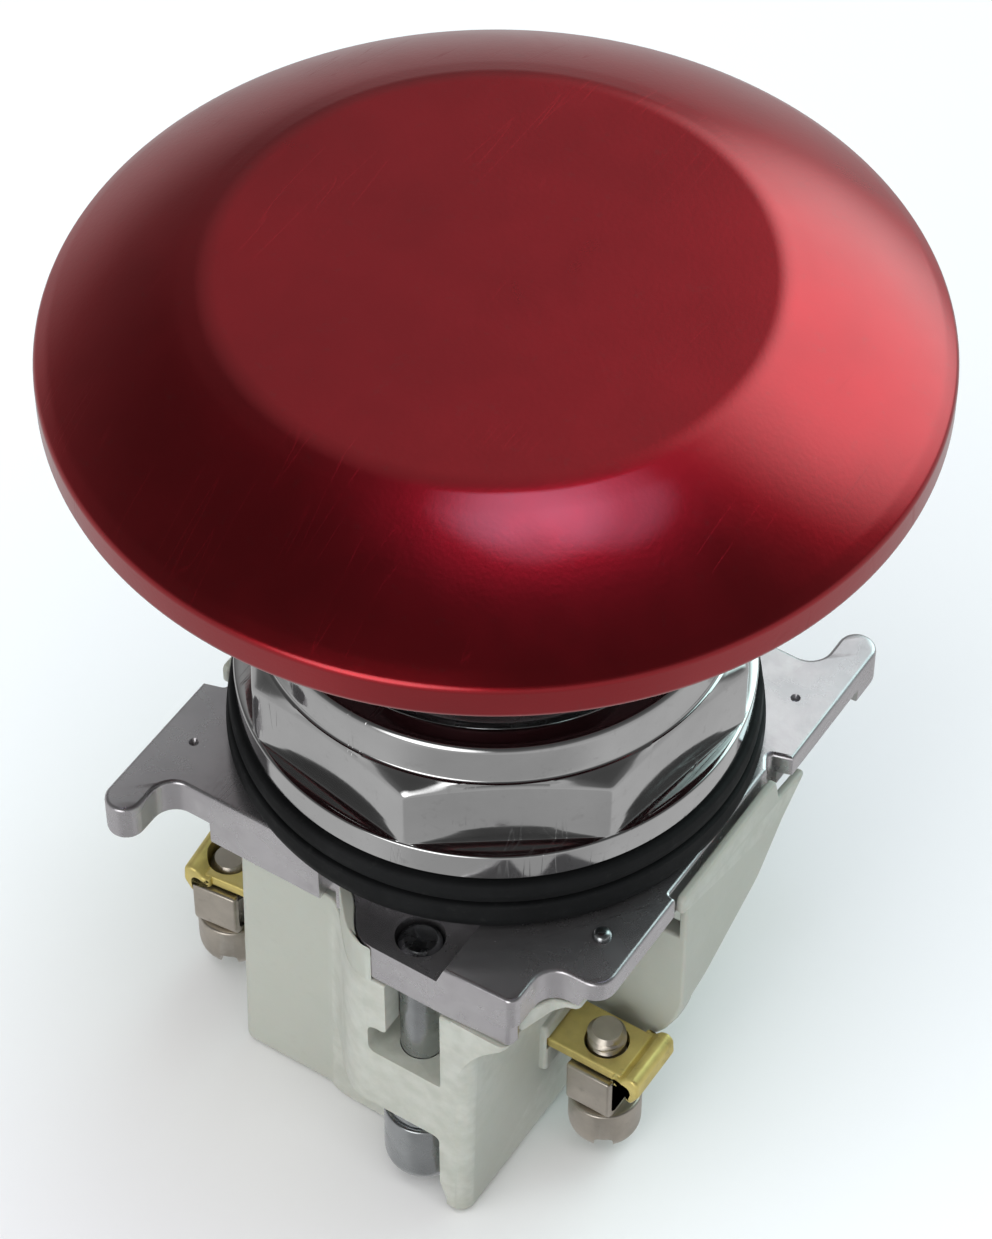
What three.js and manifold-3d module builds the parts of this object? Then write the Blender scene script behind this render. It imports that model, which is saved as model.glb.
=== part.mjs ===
// Heavy-duty oil-tight mushroom push button with its contact block, in millimetres.
// Frame: +Z out of the panel towards the head, +X from one wire terminal to the other,
// origin on the push axis at the face of the housing that seats against the panel.

import * as THREE from 'three';
import { mergeVertices } from 'three/addons/utils/BufferGeometryUtils.js';
import Module from 'manifold-3d';

const wasm = await Module();
wasm.setup();

// ---- driving dimensions -------------------------------------------------------------

const HEAD_RADIUS = 32.5;
const HEAD_FLAT_RADIUS = 20.2;
const HEAD_TOP = 47.4;
const RIM_TOP = 41.2;
const RIM_BOTTOM = 37.7;
const RIM_ROUND = 0.7;
const FLANK_START_DEG = 17;
const FLANK_END_DEG = 38;
const HEAD_WALL = 4;
const HUB_RADIUS = 9;
const HUB_BOTTOM = 25;
const HUB_BORE_TOP = 37;

const NECK_RADIUS = 15;
const NECK_BORE = 11.5;
const NECK_TOP = 16.5;

const WASHER_RADIUS = 20.9;
const GASKET_RADIUS = 20.6;
const GASKET_BORE = 15.3;

const NUT_FLANGE_RADIUS = 20.05;
const NUT_FLATS_RADIUS = 18.5;
const NUT_COLLAR_RADIUS = 18.3;
const NUT_BORE = 15.2;
const NUT_TURN_DEG = -54.3;
const NUT_BOTTOM = 4.1;
const NUT_FLANGE_TOP = 7.1;
const NUT_CORNER_TOP = 12.6;
const NUT_FLATS_TOP = 13.5;
const NUT_TOP = 17.3;

const PLATE_TOP = -1.4;
const EAR_BOTTOM = -4.9;
const PAD_TOP = -3.2;
const EDGE_BOTTOM = -3.4;
const SKIRT_BOTTOM = -7.1;
const POCKET_TOP = -3.6;
const SEAT_RADIUS = 18.2;

const SHAFT_RADIUS = 4;
const SHAFT_TOP = 36.7;
const SHAFT_SHOULDER = -4.5;
const SHAFT_END = -7.8;
const STUD_RADIUS = 2;

const BLOCK_X = -0.8;
const BLOCK_HALF = 12.4;
const BLOCK_TOP = -7.4;
const BLOCK_BOTTOM = -33.2;
const BLOCK_SIDE = 17.6;
const LOBE_SIDE = 22.2;
const COVER_HALF_X = 10.8;
const COVER_HALF_Y = 15.6;
const COVER_DEPTH = 1.5;
const BAY_HALF_X = 10.2;
const BAY_FRONT = -14.6;
const BAY_BACK = -4.2;
const BAY_FLOOR = -31.8;

const SCREW_AT = new THREE.Vector2(5.9, -19.5);
const SCREW_RADIUS = 1.7;
const SCREW_HEAD_RADIUS = 3.05;
const WINDOW_FLOOR = -16.7;
const HEAD_SEAT = -23.7;

const CONTACT_Y = -9.4;
const STRIP_TOP = -20.4;
const STRIP_THICK = 1.1;
const STRIP_INNER = 4.2;
const STRIP_REACH = { right: 21.8, left: 20.8 };
const STRIP_HALF_WIDTH = 2.4;
const LIP_HALF_WIDTH = 2.8;
const CLAMP_X = 17.3;
const CLAMP_HALF_X = 2;
const CLAMP_HALF_Y = 2.9;
const CLAMP_WALL = 0.8;
const CLAMP_BOTTOM = -26.8;
const TERMINAL_SCREW_RADIUS = 1.6;
const TERMINAL_HEAD_RADIUS = 2.95;

const GAP = 0.3;
const THIN_GAP = 0.1;
const ROUND = 60;

// ---- materials ----------------------------------------------------------------------

function finish(color, roughness, metalness) {
  return new THREE.MeshStandardMaterial({ color, roughness, metalness });
}

const redAluminium = () => finish(0x8c0f18, 0.34, 0.9);
const chrome = () => finish(0xc9c9cc, 0.12, 1);
const castZinc = () => finish(0xa9a5ac, 0.3, 1);
const blackRubber = () => finish(0x151617, 0.75, 0);
const paleNylon = () => finish(0xb9c1b6, 0.5, 0);
const blackNylon = () => finish(0x1c1c1e, 0.55, 0);
const brass = () => finish(0xb59a3f, 0.35, 1);
const nickel = () => finish(0x9d948a, 0.35, 1);
const zincSteel = () => finish(0x98a2a6, 0.35, 1);
const springSteel = () => finish(0x8b8e92, 0.3, 1);
const silver = () => finish(0xd8d8d8, 0.25, 1);

// ---- solids -------------------------------------------------------------------------

function signedVolume(positions, index) {
  const [a, b, c] = [new THREE.Vector3(), new THREE.Vector3(), new THREE.Vector3()];
  let volume = 0;
  for (let i = 0; i < index.length; i += 3) {
    a.fromArray(positions, index[i] * 3);
    b.fromArray(positions, index[i + 1] * 3);
    c.fromArray(positions, index[i + 2] * 3);
    volume += a.dot(b.cross(c)) / 6;
  }
  return volume;
}

function solidFrom(geometry) {
  const bare = geometry.clone();
  bare.deleteAttribute('normal');
  bare.deleteAttribute('uv');
  const merged = mergeVertices(bare, 1e-4);
  const positions = Float32Array.from(merged.attributes.position.array);
  const triangles = [];
  for (let i = 0; i < merged.index.count; i += 3) {
    const [a, b, c] = [0, 1, 2].map((k) => merged.index.getX(i + k));
    if (a !== b && b !== c && c !== a) triangles.push(a, b, c);
  }
  if (signedVolume(positions, triangles) < 0) triangles.reverse();
  const mesh = { numProp: 3, vertProperties: positions, triVerts: Uint32Array.from(triangles) };
  return new wasm.Manifold(new wasm.Mesh(mesh));
}

function geometryFrom(solid) {
  const mesh = solid.getMesh();
  const geometry = new THREE.BufferGeometry();
  const positions = new THREE.BufferAttribute(Float32Array.from(mesh.vertProperties), 3);
  geometry.setAttribute('position', positions);
  geometry.setIndex(new THREE.BufferAttribute(Uint32Array.from(mesh.triVerts), 1));
  geometry.computeVertexNormals();
  return geometry;
}

function joined(...solids) {
  return solids.reduce((sum, solid) => sum.add(solid));
}

function cutBy(solid, ...cutters) {
  return cutters.reduce((left, cutter) => left.subtract(cutter), solid);
}

// A profile of [radius, z] points turned about Z.
function turned(profile, segments = ROUND) {
  const points = profile.map(([r, z]) => new THREE.Vector2(r, z));
  const open = profile[0][0] > 0 || profile.at(-1)[0] > 0;
  if (open) points.push(points[0].clone());
  return solidFrom(new THREE.LatheGeometry(points, segments).rotateX(Math.PI / 2));
}

function ring(inner, outer, low, high, segments = ROUND) {
  return turned([[inner, low], [outer, low], [outer, high], [inner, high]], segments);
}

function rod(radius, low, high, segments = 32, x = 0, y = 0) {
  const profile = [[0, low], [radius, low], [radius, high], [0, high]];
  return turned(profile, segments).translate([x, y, 0]);
}

function box(lowX, highX, lowY, highY, lowZ, highZ) {
  const geometry = new THREE.BoxGeometry(highX - lowX, highY - lowY, highZ - lowZ);
  geometry.translate((lowX + highX) / 2, (lowY + highY) / 2, (lowZ + highZ) / 2);
  return solidFrom(geometry);
}

function prism(shape, low, high, curveSegments = 6) {
  const settings = { depth: high - low, bevelEnabled: false, curveSegments };
  return solidFrom(new THREE.ExtrudeGeometry(shape, settings).translate(0, 0, low));
}

// A shape drawn in Y (across) and Z (up), extruded along X.
function prismAlongX(points, lowX, highX) {
  const shape = new THREE.Shape(points.map(([y, z]) => new THREE.Vector2(y, z)));
  const settings = { depth: highX - lowX, bevelEnabled: false };
  const geometry = new THREE.ExtrudeGeometry(shape, settings);
  geometry.rotateY(Math.PI / 2).rotateX(Math.PI / 2).translate(lowX, 0, 0);
  return solidFrom(geometry);
}

// A shape drawn in X (across) and Z (up), extruded along Y.
function prismAlongY(points, lowY, highY) {
  const shape = new THREE.Shape(points.map(([x, z]) => new THREE.Vector2(x, z)));
  const settings = { depth: highY - lowY, bevelEnabled: false };
  const geometry = new THREE.ExtrudeGeometry(shape, settings);
  geometry.rotateX(Math.PI / 2).translate(0, highY, 0);
  return solidFrom(geometry);
}

function arc(centreR, centreZ, radius, startDeg, endDeg, steps) {
  return Array.from({ length: steps + 1 }, (_, i) => {
    const angle = THREE.MathUtils.degToRad(startDeg + ((endDeg - startDeg) * i) / steps);
    return [centreR + radius * Math.cos(angle), centreZ + radius * Math.sin(angle)];
  });
}

function coil(radius, wire, low, high, turns, stepsPerTurn, sides) {
  const start = low + wire;
  const rise = high - low - 2 * wire;
  const points = Array.from({ length: turns * stepsPerTurn + 1 }, (_, i) => {
    const angle = (2 * Math.PI * i) / stepsPerTurn;
    const z = start + (rise * i) / (turns * stepsPerTurn);
    return new THREE.Vector3(radius * Math.cos(angle), radius * Math.sin(angle), z);
  });
  const section = new THREE.Shape();
  for (let i = 0; i < sides; i += 1) {
    const angle = (2 * Math.PI * i) / sides;
    const [x, y] = [wire * Math.cos(angle), wire * Math.sin(angle)];
    if (i === 0) section.moveTo(x, y);
    else section.lineTo(x, y);
  }
  const extrudePath = new THREE.CatmullRomCurve3(points);
  const settings = { steps: turns * stepsPerTurn, bevelEnabled: false, extrudePath };
  return solidFrom(new THREE.ExtrudeGeometry(section, settings));
}

// ---- assembly -----------------------------------------------------------------------

const button = new THREE.Group();
const block = new THREE.Group();
block.position.x = BLOCK_X;
button.add(block);

function piece(parent, name, solid, material) {
  const mesh = new THREE.Mesh(geometryFrom(solid), material);
  mesh.name = name;
  parent.add(mesh);
}

// ---- mushroom head and its shaft ----------------------------------------------------

function flankProfile() {
  const [start, end] = [FLANK_START_DEG, FLANK_END_DEG].map(THREE.MathUtils.degToRad);
  const run = HEAD_RADIUS - RIM_ROUND * 0.6 - HEAD_FLAT_RADIUS;
  const radius = run / (Math.sin(end) - Math.sin(start));
  const centreR = HEAD_FLAT_RADIUS - radius * Math.sin(start);
  const centreZ = HEAD_TOP - radius * Math.cos(start);
  return arc(centreR, centreZ, radius, 90 - FLANK_START_DEG, 90 - FLANK_END_DEG, 7);
}

function makeHead() {
  const innerRim = HEAD_RADIUS - 2.6;
  const profile = [
    [0, HEAD_TOP],
    ...flankProfile(),
    ...arc(HEAD_RADIUS - RIM_ROUND, RIM_TOP - RIM_ROUND, RIM_ROUND, 45, 0, 2),
    ...arc(HEAD_RADIUS - RIM_ROUND, RIM_BOTTOM + RIM_ROUND, RIM_ROUND, 0, -90, 3),
    [innerRim, RIM_BOTTOM],
    [innerRim - 0.8, RIM_BOTTOM + 1],
    [HEAD_FLAT_RADIUS, HEAD_TOP - HEAD_WALL],
    [HUB_RADIUS + 1, HEAD_TOP - HEAD_WALL],
    [HUB_RADIUS, HEAD_TOP - HEAD_WALL - 1],
    [HUB_RADIUS, HUB_BOTTOM + 0.6],
    [HUB_RADIUS - 0.6, HUB_BOTTOM],
    [SHAFT_RADIUS + GAP, HUB_BOTTOM],
    [SHAFT_RADIUS + GAP, HUB_BORE_TOP],
    [0, HUB_BORE_TOP],
  ];
  return turned(profile);
}

const GRUB_RADIUS = 1.5;
const GRUB_Z = 29;
const GRUB_TURN_DEG = 150;

function alongRadius(solid) {
  return solid.rotate([0, 90, 0]).rotate([0, 0, GRUB_TURN_DEG]).translate([0, 0, GRUB_Z]);
}

const grubHole = alongRadius(rod(GRUB_RADIUS + GAP, SHAFT_RADIUS - 1, HUB_RADIUS + 1, 20));
piece(button, 'mushroom_head', cutBy(makeHead(), grubHole), redAluminium());

const hexKey = rod(0.75, HUB_RADIUS - 2.5, HUB_RADIUS + 1, 6);
const grub = rod(GRUB_RADIUS, SHAFT_RADIUS + GAP, HUB_RADIUS - 0.4, 20);
piece(button, 'head_set_screw', alongRadius(cutBy(grub, hexKey)), zincSteel());

const CLIP_HIGH = -6.9;
const CLIP_LOW = -7.5;
const shaft = turned([
  [0, SHAFT_TOP],
  [SHAFT_RADIUS - 0.5, SHAFT_TOP],
  [SHAFT_RADIUS, SHAFT_TOP - 0.5],
  [SHAFT_RADIUS, SHAFT_SHOULDER],
  [STUD_RADIUS, SHAFT_SHOULDER],
  [STUD_RADIUS, CLIP_HIGH + THIN_GAP],
  [STUD_RADIUS - 0.5, CLIP_HIGH + THIN_GAP],
  [STUD_RADIUS - 0.5, CLIP_LOW - THIN_GAP],
  [STUD_RADIUS, CLIP_LOW - THIN_GAP],
  [STUD_RADIUS, SHAFT_END],
  [0, SHAFT_END],
], 40);
piece(button, 'plunger_shaft', shaft, zincSteel());

// ---- neck stack: seal, bushing, spring ----------------------------------------------

const BUSH_BOTTOM = 9.9;
const BUSH_TOP = 15.4;
const RETAINER_LOW = 8.1;
const RETAINER_HIGH = 9.6;

const wiper = turned([
  [SHAFT_RADIUS + 0.15, NECK_TOP - 0.9],
  [NECK_BORE - 0.2, NECK_TOP - 0.9],
  [NECK_BORE - 0.2, NECK_TOP],
  [NECK_BORE - 1.2, NECK_TOP],
  [SHAFT_RADIUS + 2, NECK_TOP - 0.2],
  [SHAFT_RADIUS + 0.6, NECK_TOP + 0.6],
  [SHAFT_RADIUS + 0.15, NECK_TOP + 0.6],
], 48);
piece(button, 'shaft_wiper_seal', wiper, blackRubber());

const bushing = ring(SHAFT_RADIUS + 0.1, NECK_BORE - 0.2, BUSH_BOTTOM, BUSH_TOP, 48);
piece(button, 'guide_bushing', bushing, blackNylon());

const retainer = ring(SHAFT_RADIUS + 0.1, 8.2, RETAINER_LOW, RETAINER_HIGH, 40);
piece(button, 'spring_retainer', retainer, zincSteel());

const returnSpring = coil(5.9, 0.55, PLATE_TOP + THIN_GAP, RETAINER_LOW - THIN_GAP, 4, 16, 7);
piece(button, 'return_spring', returnSpring, springSteel());

// ---- nut, gasket and washer ---------------------------------------------------------

function makeNut() {
  const shape = new THREE.Shape();
  const corner = NUT_FLATS_RADIUS / Math.cos(Math.PI / 8);
  for (let i = 0; i < 8; i += 1) {
    const angle = THREE.MathUtils.degToRad(NUT_TURN_DEG + 22.5 + 45 * i);
    const [x, y] = [corner * Math.cos(angle), corner * Math.sin(angle)];
    if (i === 0) shape.moveTo(x, y);
    else shape.lineTo(x, y);
  }
  const flats = prism(shape, NUT_FLANGE_TOP - 0.5, NUT_FLATS_TOP);
  const chamfer = turned([
    [0, NUT_BOTTOM],
    [NUT_FLANGE_RADIUS, NUT_BOTTOM],
    [NUT_FLANGE_RADIUS, NUT_CORNER_TOP],
    [NUT_COLLAR_RADIUS, NUT_FLATS_TOP],
    [0, NUT_FLATS_TOP],
  ]);
  const body = turned([
    [0, NUT_BOTTOM],
    [NUT_FLANGE_RADIUS - 0.5, NUT_BOTTOM],
    [NUT_FLANGE_RADIUS, NUT_BOTTOM + 0.5],
    [NUT_FLANGE_RADIUS, NUT_FLANGE_TOP - 0.3],
    [NUT_FLANGE_RADIUS - 0.3, NUT_FLANGE_TOP],
    [NUT_COLLAR_RADIUS, NUT_FLANGE_TOP + 0.1],
    [NUT_COLLAR_RADIUS, NUT_TOP - 0.9],
    [NUT_COLLAR_RADIUS - 0.3, NUT_TOP - 0.3],
    [NUT_COLLAR_RADIUS - 0.9, NUT_TOP],
    [0, NUT_TOP],
  ]);
  const bore = turned([
    [0, NUT_BOTTOM - 1],
    [NUT_BORE, NUT_BOTTOM - 1],
    [NUT_BORE, NUT_TOP - 0.8],
    [NUT_BORE + 1, NUT_TOP],
    [NUT_BORE + 1, NUT_TOP + 1],
    [0, NUT_TOP + 1],
  ]);
  return cutBy(joined(flats.intersect(chamfer), body), bore);
}

piece(button, 'retaining_nut', makeNut(), chrome());

const gasket = turned([
  [GASKET_BORE, 2],
  [GASKET_RADIUS - 0.4, 2],
  [GASKET_RADIUS, 2.4],
  [GASKET_RADIUS, 3.5],
  [GASKET_RADIUS - 0.5, NUT_BOTTOM - THIN_GAP],
  [GASKET_BORE, NUT_BOTTOM - THIN_GAP],
]);
piece(button, 'panel_gasket', gasket, blackRubber());

const washer = turned([
  [GASKET_BORE, THIN_GAP],
  [SEAT_RADIUS + GAP, THIN_GAP],
  [SEAT_RADIUS + GAP + 0.2, -0.7],
  [WASHER_RADIUS - 0.5, -0.7],
  [WASHER_RADIUS, -0.2],
  [WASHER_RADIUS, 1.5],
  [WASHER_RADIUS - 0.4, 1.9],
  [GASKET_BORE, 1.9],
]);
piece(button, 'thrust_washer', washer, blackRubber());

// ---- die-cast housing ---------------------------------------------------------------

const PIN_AT = new THREE.Vector2(18, -13.2);
const PIN_RADIUS = 0.9;
const DIMPLE_AT = new THREE.Vector2(18.4, 14.6);
const EAR_X = 21.35;
const EDGE_X = 20.85;
const TAB_RECESS_X = 20.2;
const TAB_RECESS_Y = 7.2;
const PLATE_SIDE = 18.4;
const LOBE_EDGE = 22.35;
const LOBE_INNER_X = 10.2;

// The screw lobe's edge, shared by the plate and the skirt under it.
function drawLobe(path) {
  path.lineTo(-1.5, -PLATE_SIDE);
  path.bezierCurveTo(0.5, -18.6, 0.6, -LOBE_EDGE, 3.4, -LOBE_EDGE);
  path.lineTo(9.6, -LOBE_EDGE);
}

function drawFront(path) {
  drawLobe(path);
  path.lineTo(15.2, -22.1);
  path.quadraticCurveTo(16, -22.1, 16, -21.2);
  path.lineTo(16, -19.4);
  path.quadraticCurveTo(16.1, -17.7, 17.6, -17.6);
  path.lineTo(19.2, -17.5);
  path.quadraticCurveTo(EDGE_X, -17.4, EDGE_X, -15.8);
  path.lineTo(EDGE_X, -TAB_RECESS_Y);
  path.lineTo(TAB_RECESS_X, -TAB_RECESS_Y);
  path.lineTo(TAB_RECESS_X, TAB_RECESS_Y);
}

function drawPlateHalf(path) {
  const [tipX, tipY, tip, notch] = [-19.8, -21.75, 1.55, 1.9];
  path.lineTo(-EAR_X, tipY);
  path.absarc(tipX, tipY, tip, Math.PI, 2 * Math.PI, false);
  path.lineTo(tipX + tip, -PLATE_SIDE - notch);
  path.absarc(tipX + tip + notch, -PLATE_SIDE - notch, notch, Math.PI, Math.PI / 2, true);
  drawFront(path);
  path.lineTo(TAB_RECESS_X - 0.8, TAB_RECESS_Y + 1.4);
  path.lineTo(EAR_X, TAB_RECESS_Y + 2);
}

function drawSkirtHalf(path) {
  path.lineTo(-14.4, -13);
  path.lineTo(-14.4, -PLATE_SIDE);
  drawLobe(path);
  path.lineTo(15.3, -22.1);
  path.lineTo(15.7, -20.8);
  path.lineTo(LOBE_INNER_X, -20.6);
  path.lineTo(LOBE_INNER_X, -12);
  path.lineTo(TAB_RECESS_X, -TAB_RECESS_Y);
  path.lineTo(TAB_RECESS_X, TAB_RECESS_Y + 2);
}

// An outline that is the same after half a turn about Z, from the points of one half.
function halfTurnShape(startX, startY, drawHalf, divisions = 5) {
  const half = new THREE.Path();
  half.moveTo(startX, startY);
  drawHalf(half);
  const points = half.getPoints(divisions).slice(0, -1);
  return new THREE.Shape([...points, ...points.map((p) => p.clone().negate())]);
}

function atBothEnds(solid) {
  return joined(solid, solid.rotate([0, 0, 180]));
}

function makeHousing() {
  const plate = halfTurnShape(-EAR_X, -TAB_RECESS_Y - 2, drawPlateHalf);
  const skirt = halfTurnShape(-TAB_RECESS_X, -TAB_RECESS_Y - 2, drawSkirtHalf);
  const screwPad = prismAlongY([
    [-2.6, PAD_TOP],
    [9.1, PAD_TOP],
    [9.9, PLATE_TOP + 0.1],
    [9.9, 1],
    [-2.6, 1],
  ], -LOBE_EDGE - 1, -15);
  const frontEdge = box(EDGE_X - 2.2, EDGE_X + 1, -19, -TAB_RECESS_Y, EAR_BOTTOM - 0.1, EDGE_BOTTOM);
  const earEdge = box(TAB_RECESS_X, EAR_X + 1, TAB_RECESS_Y + 1, 19, EAR_BOTTOM - 0.1, EDGE_BOTTOM);
  const skirtGap = box(-4.2, -2.6, -PLATE_SIDE - 1, -17.2, SKIRT_BOTTOM - 1, PAD_TOP - 0.1);
  const shell = cutBy(
    joined(prism(plate, EAR_BOTTOM, PLATE_TOP), prism(skirt, SKIRT_BOTTOM, PLATE_TOP)),
    ...[screwPad, frontEdge, earEdge, skirtGap].map(atBothEnds),
  );
  const body = joined(
    shell,
    rod(SEAT_RADIUS, PAD_TOP - 0.2, 0, ROUND),
    rod(NECK_RADIUS, PLATE_TOP, NECK_TOP, ROUND),
  );
  return cutBy(
    body,
    rod(NECK_BORE, PLATE_TOP, NECK_TOP + 1, 48),
    rod(SHAFT_RADIUS + GAP, POCKET_TOP - 1, PLATE_TOP + 1, 40),
    box(-12.4, 12.4, -16.4, 16.4, SKIRT_BOTTOM - 1, POCKET_TOP),
    atBothEnds(rod(SCREW_RADIUS + 0.2, SKIRT_BOTTOM - 1, PLATE_TOP + 1, 24, SCREW_AT.x, SCREW_AT.y)),
    atBothEnds(rod(PIN_RADIUS + GAP, SKIRT_BOTTOM - 1, PLATE_TOP + 1, 16, PIN_AT.x, PIN_AT.y)),
    atBothEnds(turned([[0, -1.9], [0.2, -1.8], [0.45, -1.4], [0.45, 0], [0, 0]], 16)
      .translate([DIMPLE_AT.x, DIMPLE_AT.y, 0])),
  );
}

piece(button, 'operator_housing', makeHousing(), castZinc());

const PIN_ENDS = { front: 0, rear: 180 };
for (const [end, turn] of Object.entries(PIN_ENDS)) {
  const pin = turned([
    [0, EAR_BOTTOM + 0.1],
    [PIN_RADIUS, EAR_BOTTOM + 0.1],
    [PIN_RADIUS, PLATE_TOP + 0.2],
    [PIN_RADIUS * 0.6, PLATE_TOP + 0.6],
    [0, PLATE_TOP + 0.7],
  ], 16).translate([PIN_AT.x, PIN_AT.y, 0]).rotate([0, 0, turn]);
  piece(button, `locating_pin_${end}`, pin, zincSteel());
}

// ---- shaft end: actuator bar and clip -----------------------------------------------

const BAR_HIGH = -4.7;
const BAR_LOW = -6.6;
const BAR_HALF_X = 3.4;
const BAR_HALF_Y = 12.4;

const bar = cutBy(
  box(-BAR_HALF_X, BAR_HALF_X, -BAR_HALF_Y, BAR_HALF_Y, BAR_LOW, BAR_HIGH),
  rod(STUD_RADIUS + 0.15, BAR_LOW - 1, BAR_HIGH + 1, 24),
);
piece(button, 'actuator_bar', bar, blackNylon());

const clipBody = rod(3.4, CLIP_LOW, CLIP_HIGH, 28);
const clipThroat = joined(
  rod(STUD_RADIUS - 0.35, CLIP_LOW - 1, CLIP_HIGH + 1, 20),
  box(-1.5, 1.5, 0, 5, CLIP_LOW - 1, CLIP_HIGH + 1),
);
piece(button, 'shaft_clip', cutBy(clipBody, clipThroat), springSteel());

// ---- contact block ------------------------------------------------------------------

const TAB_INNER = 20.6;
const TAB_OUTER = 21.3;
const TAB_HALF_Y = 6.9;
const TAB_TOP = -1.7;
const WELL_FLOOR = -13.6;
const SLOT_HALF_X = 5.3;
const SLOT_HALF_Y = 13;

function drawBlockHalf(path) {
  path.lineTo(-BLOCK_HALF, -BLOCK_SIDE + 0.8);
  path.quadraticCurveTo(-BLOCK_HALF, -BLOCK_SIDE, -BLOCK_HALF + 0.8, -BLOCK_SIDE);
  path.lineTo(-2.2, -BLOCK_SIDE);
  path.bezierCurveTo(-0.1, -BLOCK_SIDE, -0.1, -LOBE_SIDE, 2.8, -LOBE_SIDE);
  path.lineTo(BLOCK_HALF - 0.8, -LOBE_SIDE);
  path.quadraticCurveTo(BLOCK_HALF, -LOBE_SIDE, BLOCK_HALF, -LOBE_SIDE + 0.8);
  path.lineTo(BLOCK_HALF, 0);
}

// Side barrier: a wing below the housing, a tab up its edge and a gusset back to the
// block. The block is off centre, so side = 1 or -1 sets how far each one reaches.
const WING_INNER = 20;
const WING_FRONT = -6.2;
const GUSSET = 1.6;

function makeBarrier(side) {
  const [wingIn, tabIn, outer] = [WING_INNER, TAB_INNER, TAB_OUTER]
    .map((x) => x - side * BLOCK_X);
  const wing = prismAlongX([
    [WING_FRONT, BLOCK_TOP],
    [WING_FRONT, -16.7],
    [-2.7, -15.7],
    [4.9, -11.7],
    [8.3, -8],
    [8.3, BLOCK_TOP],
  ], wingIn, outer);
  const web = prismAlongY([
    [BLOCK_HALF - 1, BLOCK_TOP],
    [BLOCK_HALF - 1, -23],
    [outer - 3, -22],
    [outer - 1.4, -20.2],
    [outer - 0.4, -18.2],
    [outer, -16.2],
    [outer, BLOCK_TOP],
  ], WING_FRONT, WING_FRONT + GUSSET);
  const tab = box(tabIn, outer, -TAB_HALF_Y, TAB_HALF_Y, BLOCK_TOP - 1, TAB_TOP);
  return joined(wing, web, tab);
}

// One end's openings for the long mounting screw, at front = -1 or rear = 1.
function makeScrewWays(end) {
  const turn = end === -1 ? 0 : 180;
  const at = (x) => x + end * BLOCK_X;
  const hole = rod(SCREW_RADIUS + GAP, BLOCK_BOTTOM - 1, BLOCK_TOP + 1, 24, SCREW_AT.x, SCREW_AT.y);
  const window = box(4.5, 9.5, -25, SCREW_AT.y + 1, WINDOW_FLOOR, BLOCK_TOP + 1);
  const corner = box(2.8, 9.5, -25, SCREW_AT.y + 1, WINDOW_FLOOR, WINDOW_FLOOR + 3.3);
  const recess = box(2.3, 9.3, -25, SCREW_AT.y + 3.6, BLOCK_BOTTOM - 1, HEAD_SEAT);
  const underside = box(at(0) - 3, 3, -25, -BLOCK_SIDE, BLOCK_BOTTOM - 1, HEAD_SEAT);
  return joined(hole, window, corner, recess, underside)
    .rotate([0, 0, turn])
    .translate([-BLOCK_X, 0, 0]);
}

// Where each terminal stands: the left one is turned a little and stands further out.
const LEFT_TURN_DEG = 6;
const LEFT_OUT = 0.8;
const SIDES = {
  right: (solid) => solid,
  left: (solid) => solid.mirror([1, 0, 0])
    .translate([STRIP_INNER, -CONTACT_Y, 0])
    .rotate([0, 0, LEFT_TURN_DEG])
    .translate([-STRIP_INNER - LEFT_OUT, CONTACT_Y, 0]),
};

// The block's corner flares out under the housing's wavy edge, at front = -1 or rear = 1.
function makeFlare(end) {
  const outline = new THREE.Shape([
    [10.5, -20.3], [15.2, -20.3], [15.8, -19.2], [16.6, -17.9], [18.5, -17.2], [18.5, -11],
    [10.5, -11],
  ].map(([x, y]) => new THREE.Vector2(x, y)));
  const upper = prism(outline, -12, EAR_BOTTOM - GAP);
  const front = box(10.5, 15.3, -LOBE_SIDE, -20.2, -12, SKIRT_BOTTOM - GAP);
  const slope = prismAlongY([
    [11.6, -13],
    [12.6, -10.2],
    [14, -8],
    [17.4, -5.8],
    [20, -5.8],
    [20, -13],
  ], -LOBE_SIDE - 1, -10);
  return cutBy(joined(upper, front), slope)
    .rotate([0, 0, end === -1 ? 0 : 180])
    .translate([-BLOCK_X, 0, 0]);
}

function makeBlockBase() {
  const outline = halfTurnShape(-BLOCK_HALF, 0, drawBlockHalf);
  const strip = [CONTACT_Y - STRIP_HALF_WIDTH - 0.2, CONTACT_Y + STRIP_HALF_WIDTH + 0.2];
  const stripWay = box(STRIP_INNER - 0.5, BLOCK_HALF + 5, ...strip,
    STRIP_TOP - STRIP_THICK - 0.2, STRIP_TOP + 0.2);
  const boss = box(BLOCK_HALF - 1, BLOCK_HALF + 1.8, CONTACT_Y - 3, CONTACT_Y + 3, -24.5, -18.8);
  const body = joined(
    prism(outline, BLOCK_BOTTOM, BLOCK_TOP),
    makeBarrier(1),
    makeBarrier(-1).mirror([1, 0, 0]),
    ...Object.values(SIDES).map((place) => place(boss)),
    makeFlare(-1),
    makeFlare(1),
  );
  return cutBy(
    body,
    box(-COVER_HALF_X, COVER_HALF_X, -COVER_HALF_Y, COVER_HALF_Y, BLOCK_TOP - COVER_DEPTH, 0),
    box(-BAY_HALF_X, BAY_HALF_X, BAY_FRONT, BAY_BACK, BAY_FLOOR, BLOCK_TOP),
    box(-SLOT_HALF_X, SLOT_HALF_X, BAY_BACK - 1, SLOT_HALF_Y, WELL_FLOOR, BLOCK_TOP),
    ...Object.values(SIDES).map((place) => place(stripWay)),
    makeScrewWays(-1),
    makeScrewWays(1),
  );
}

piece(block, 'block_base', makeBlockBase(), paleNylon());

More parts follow.
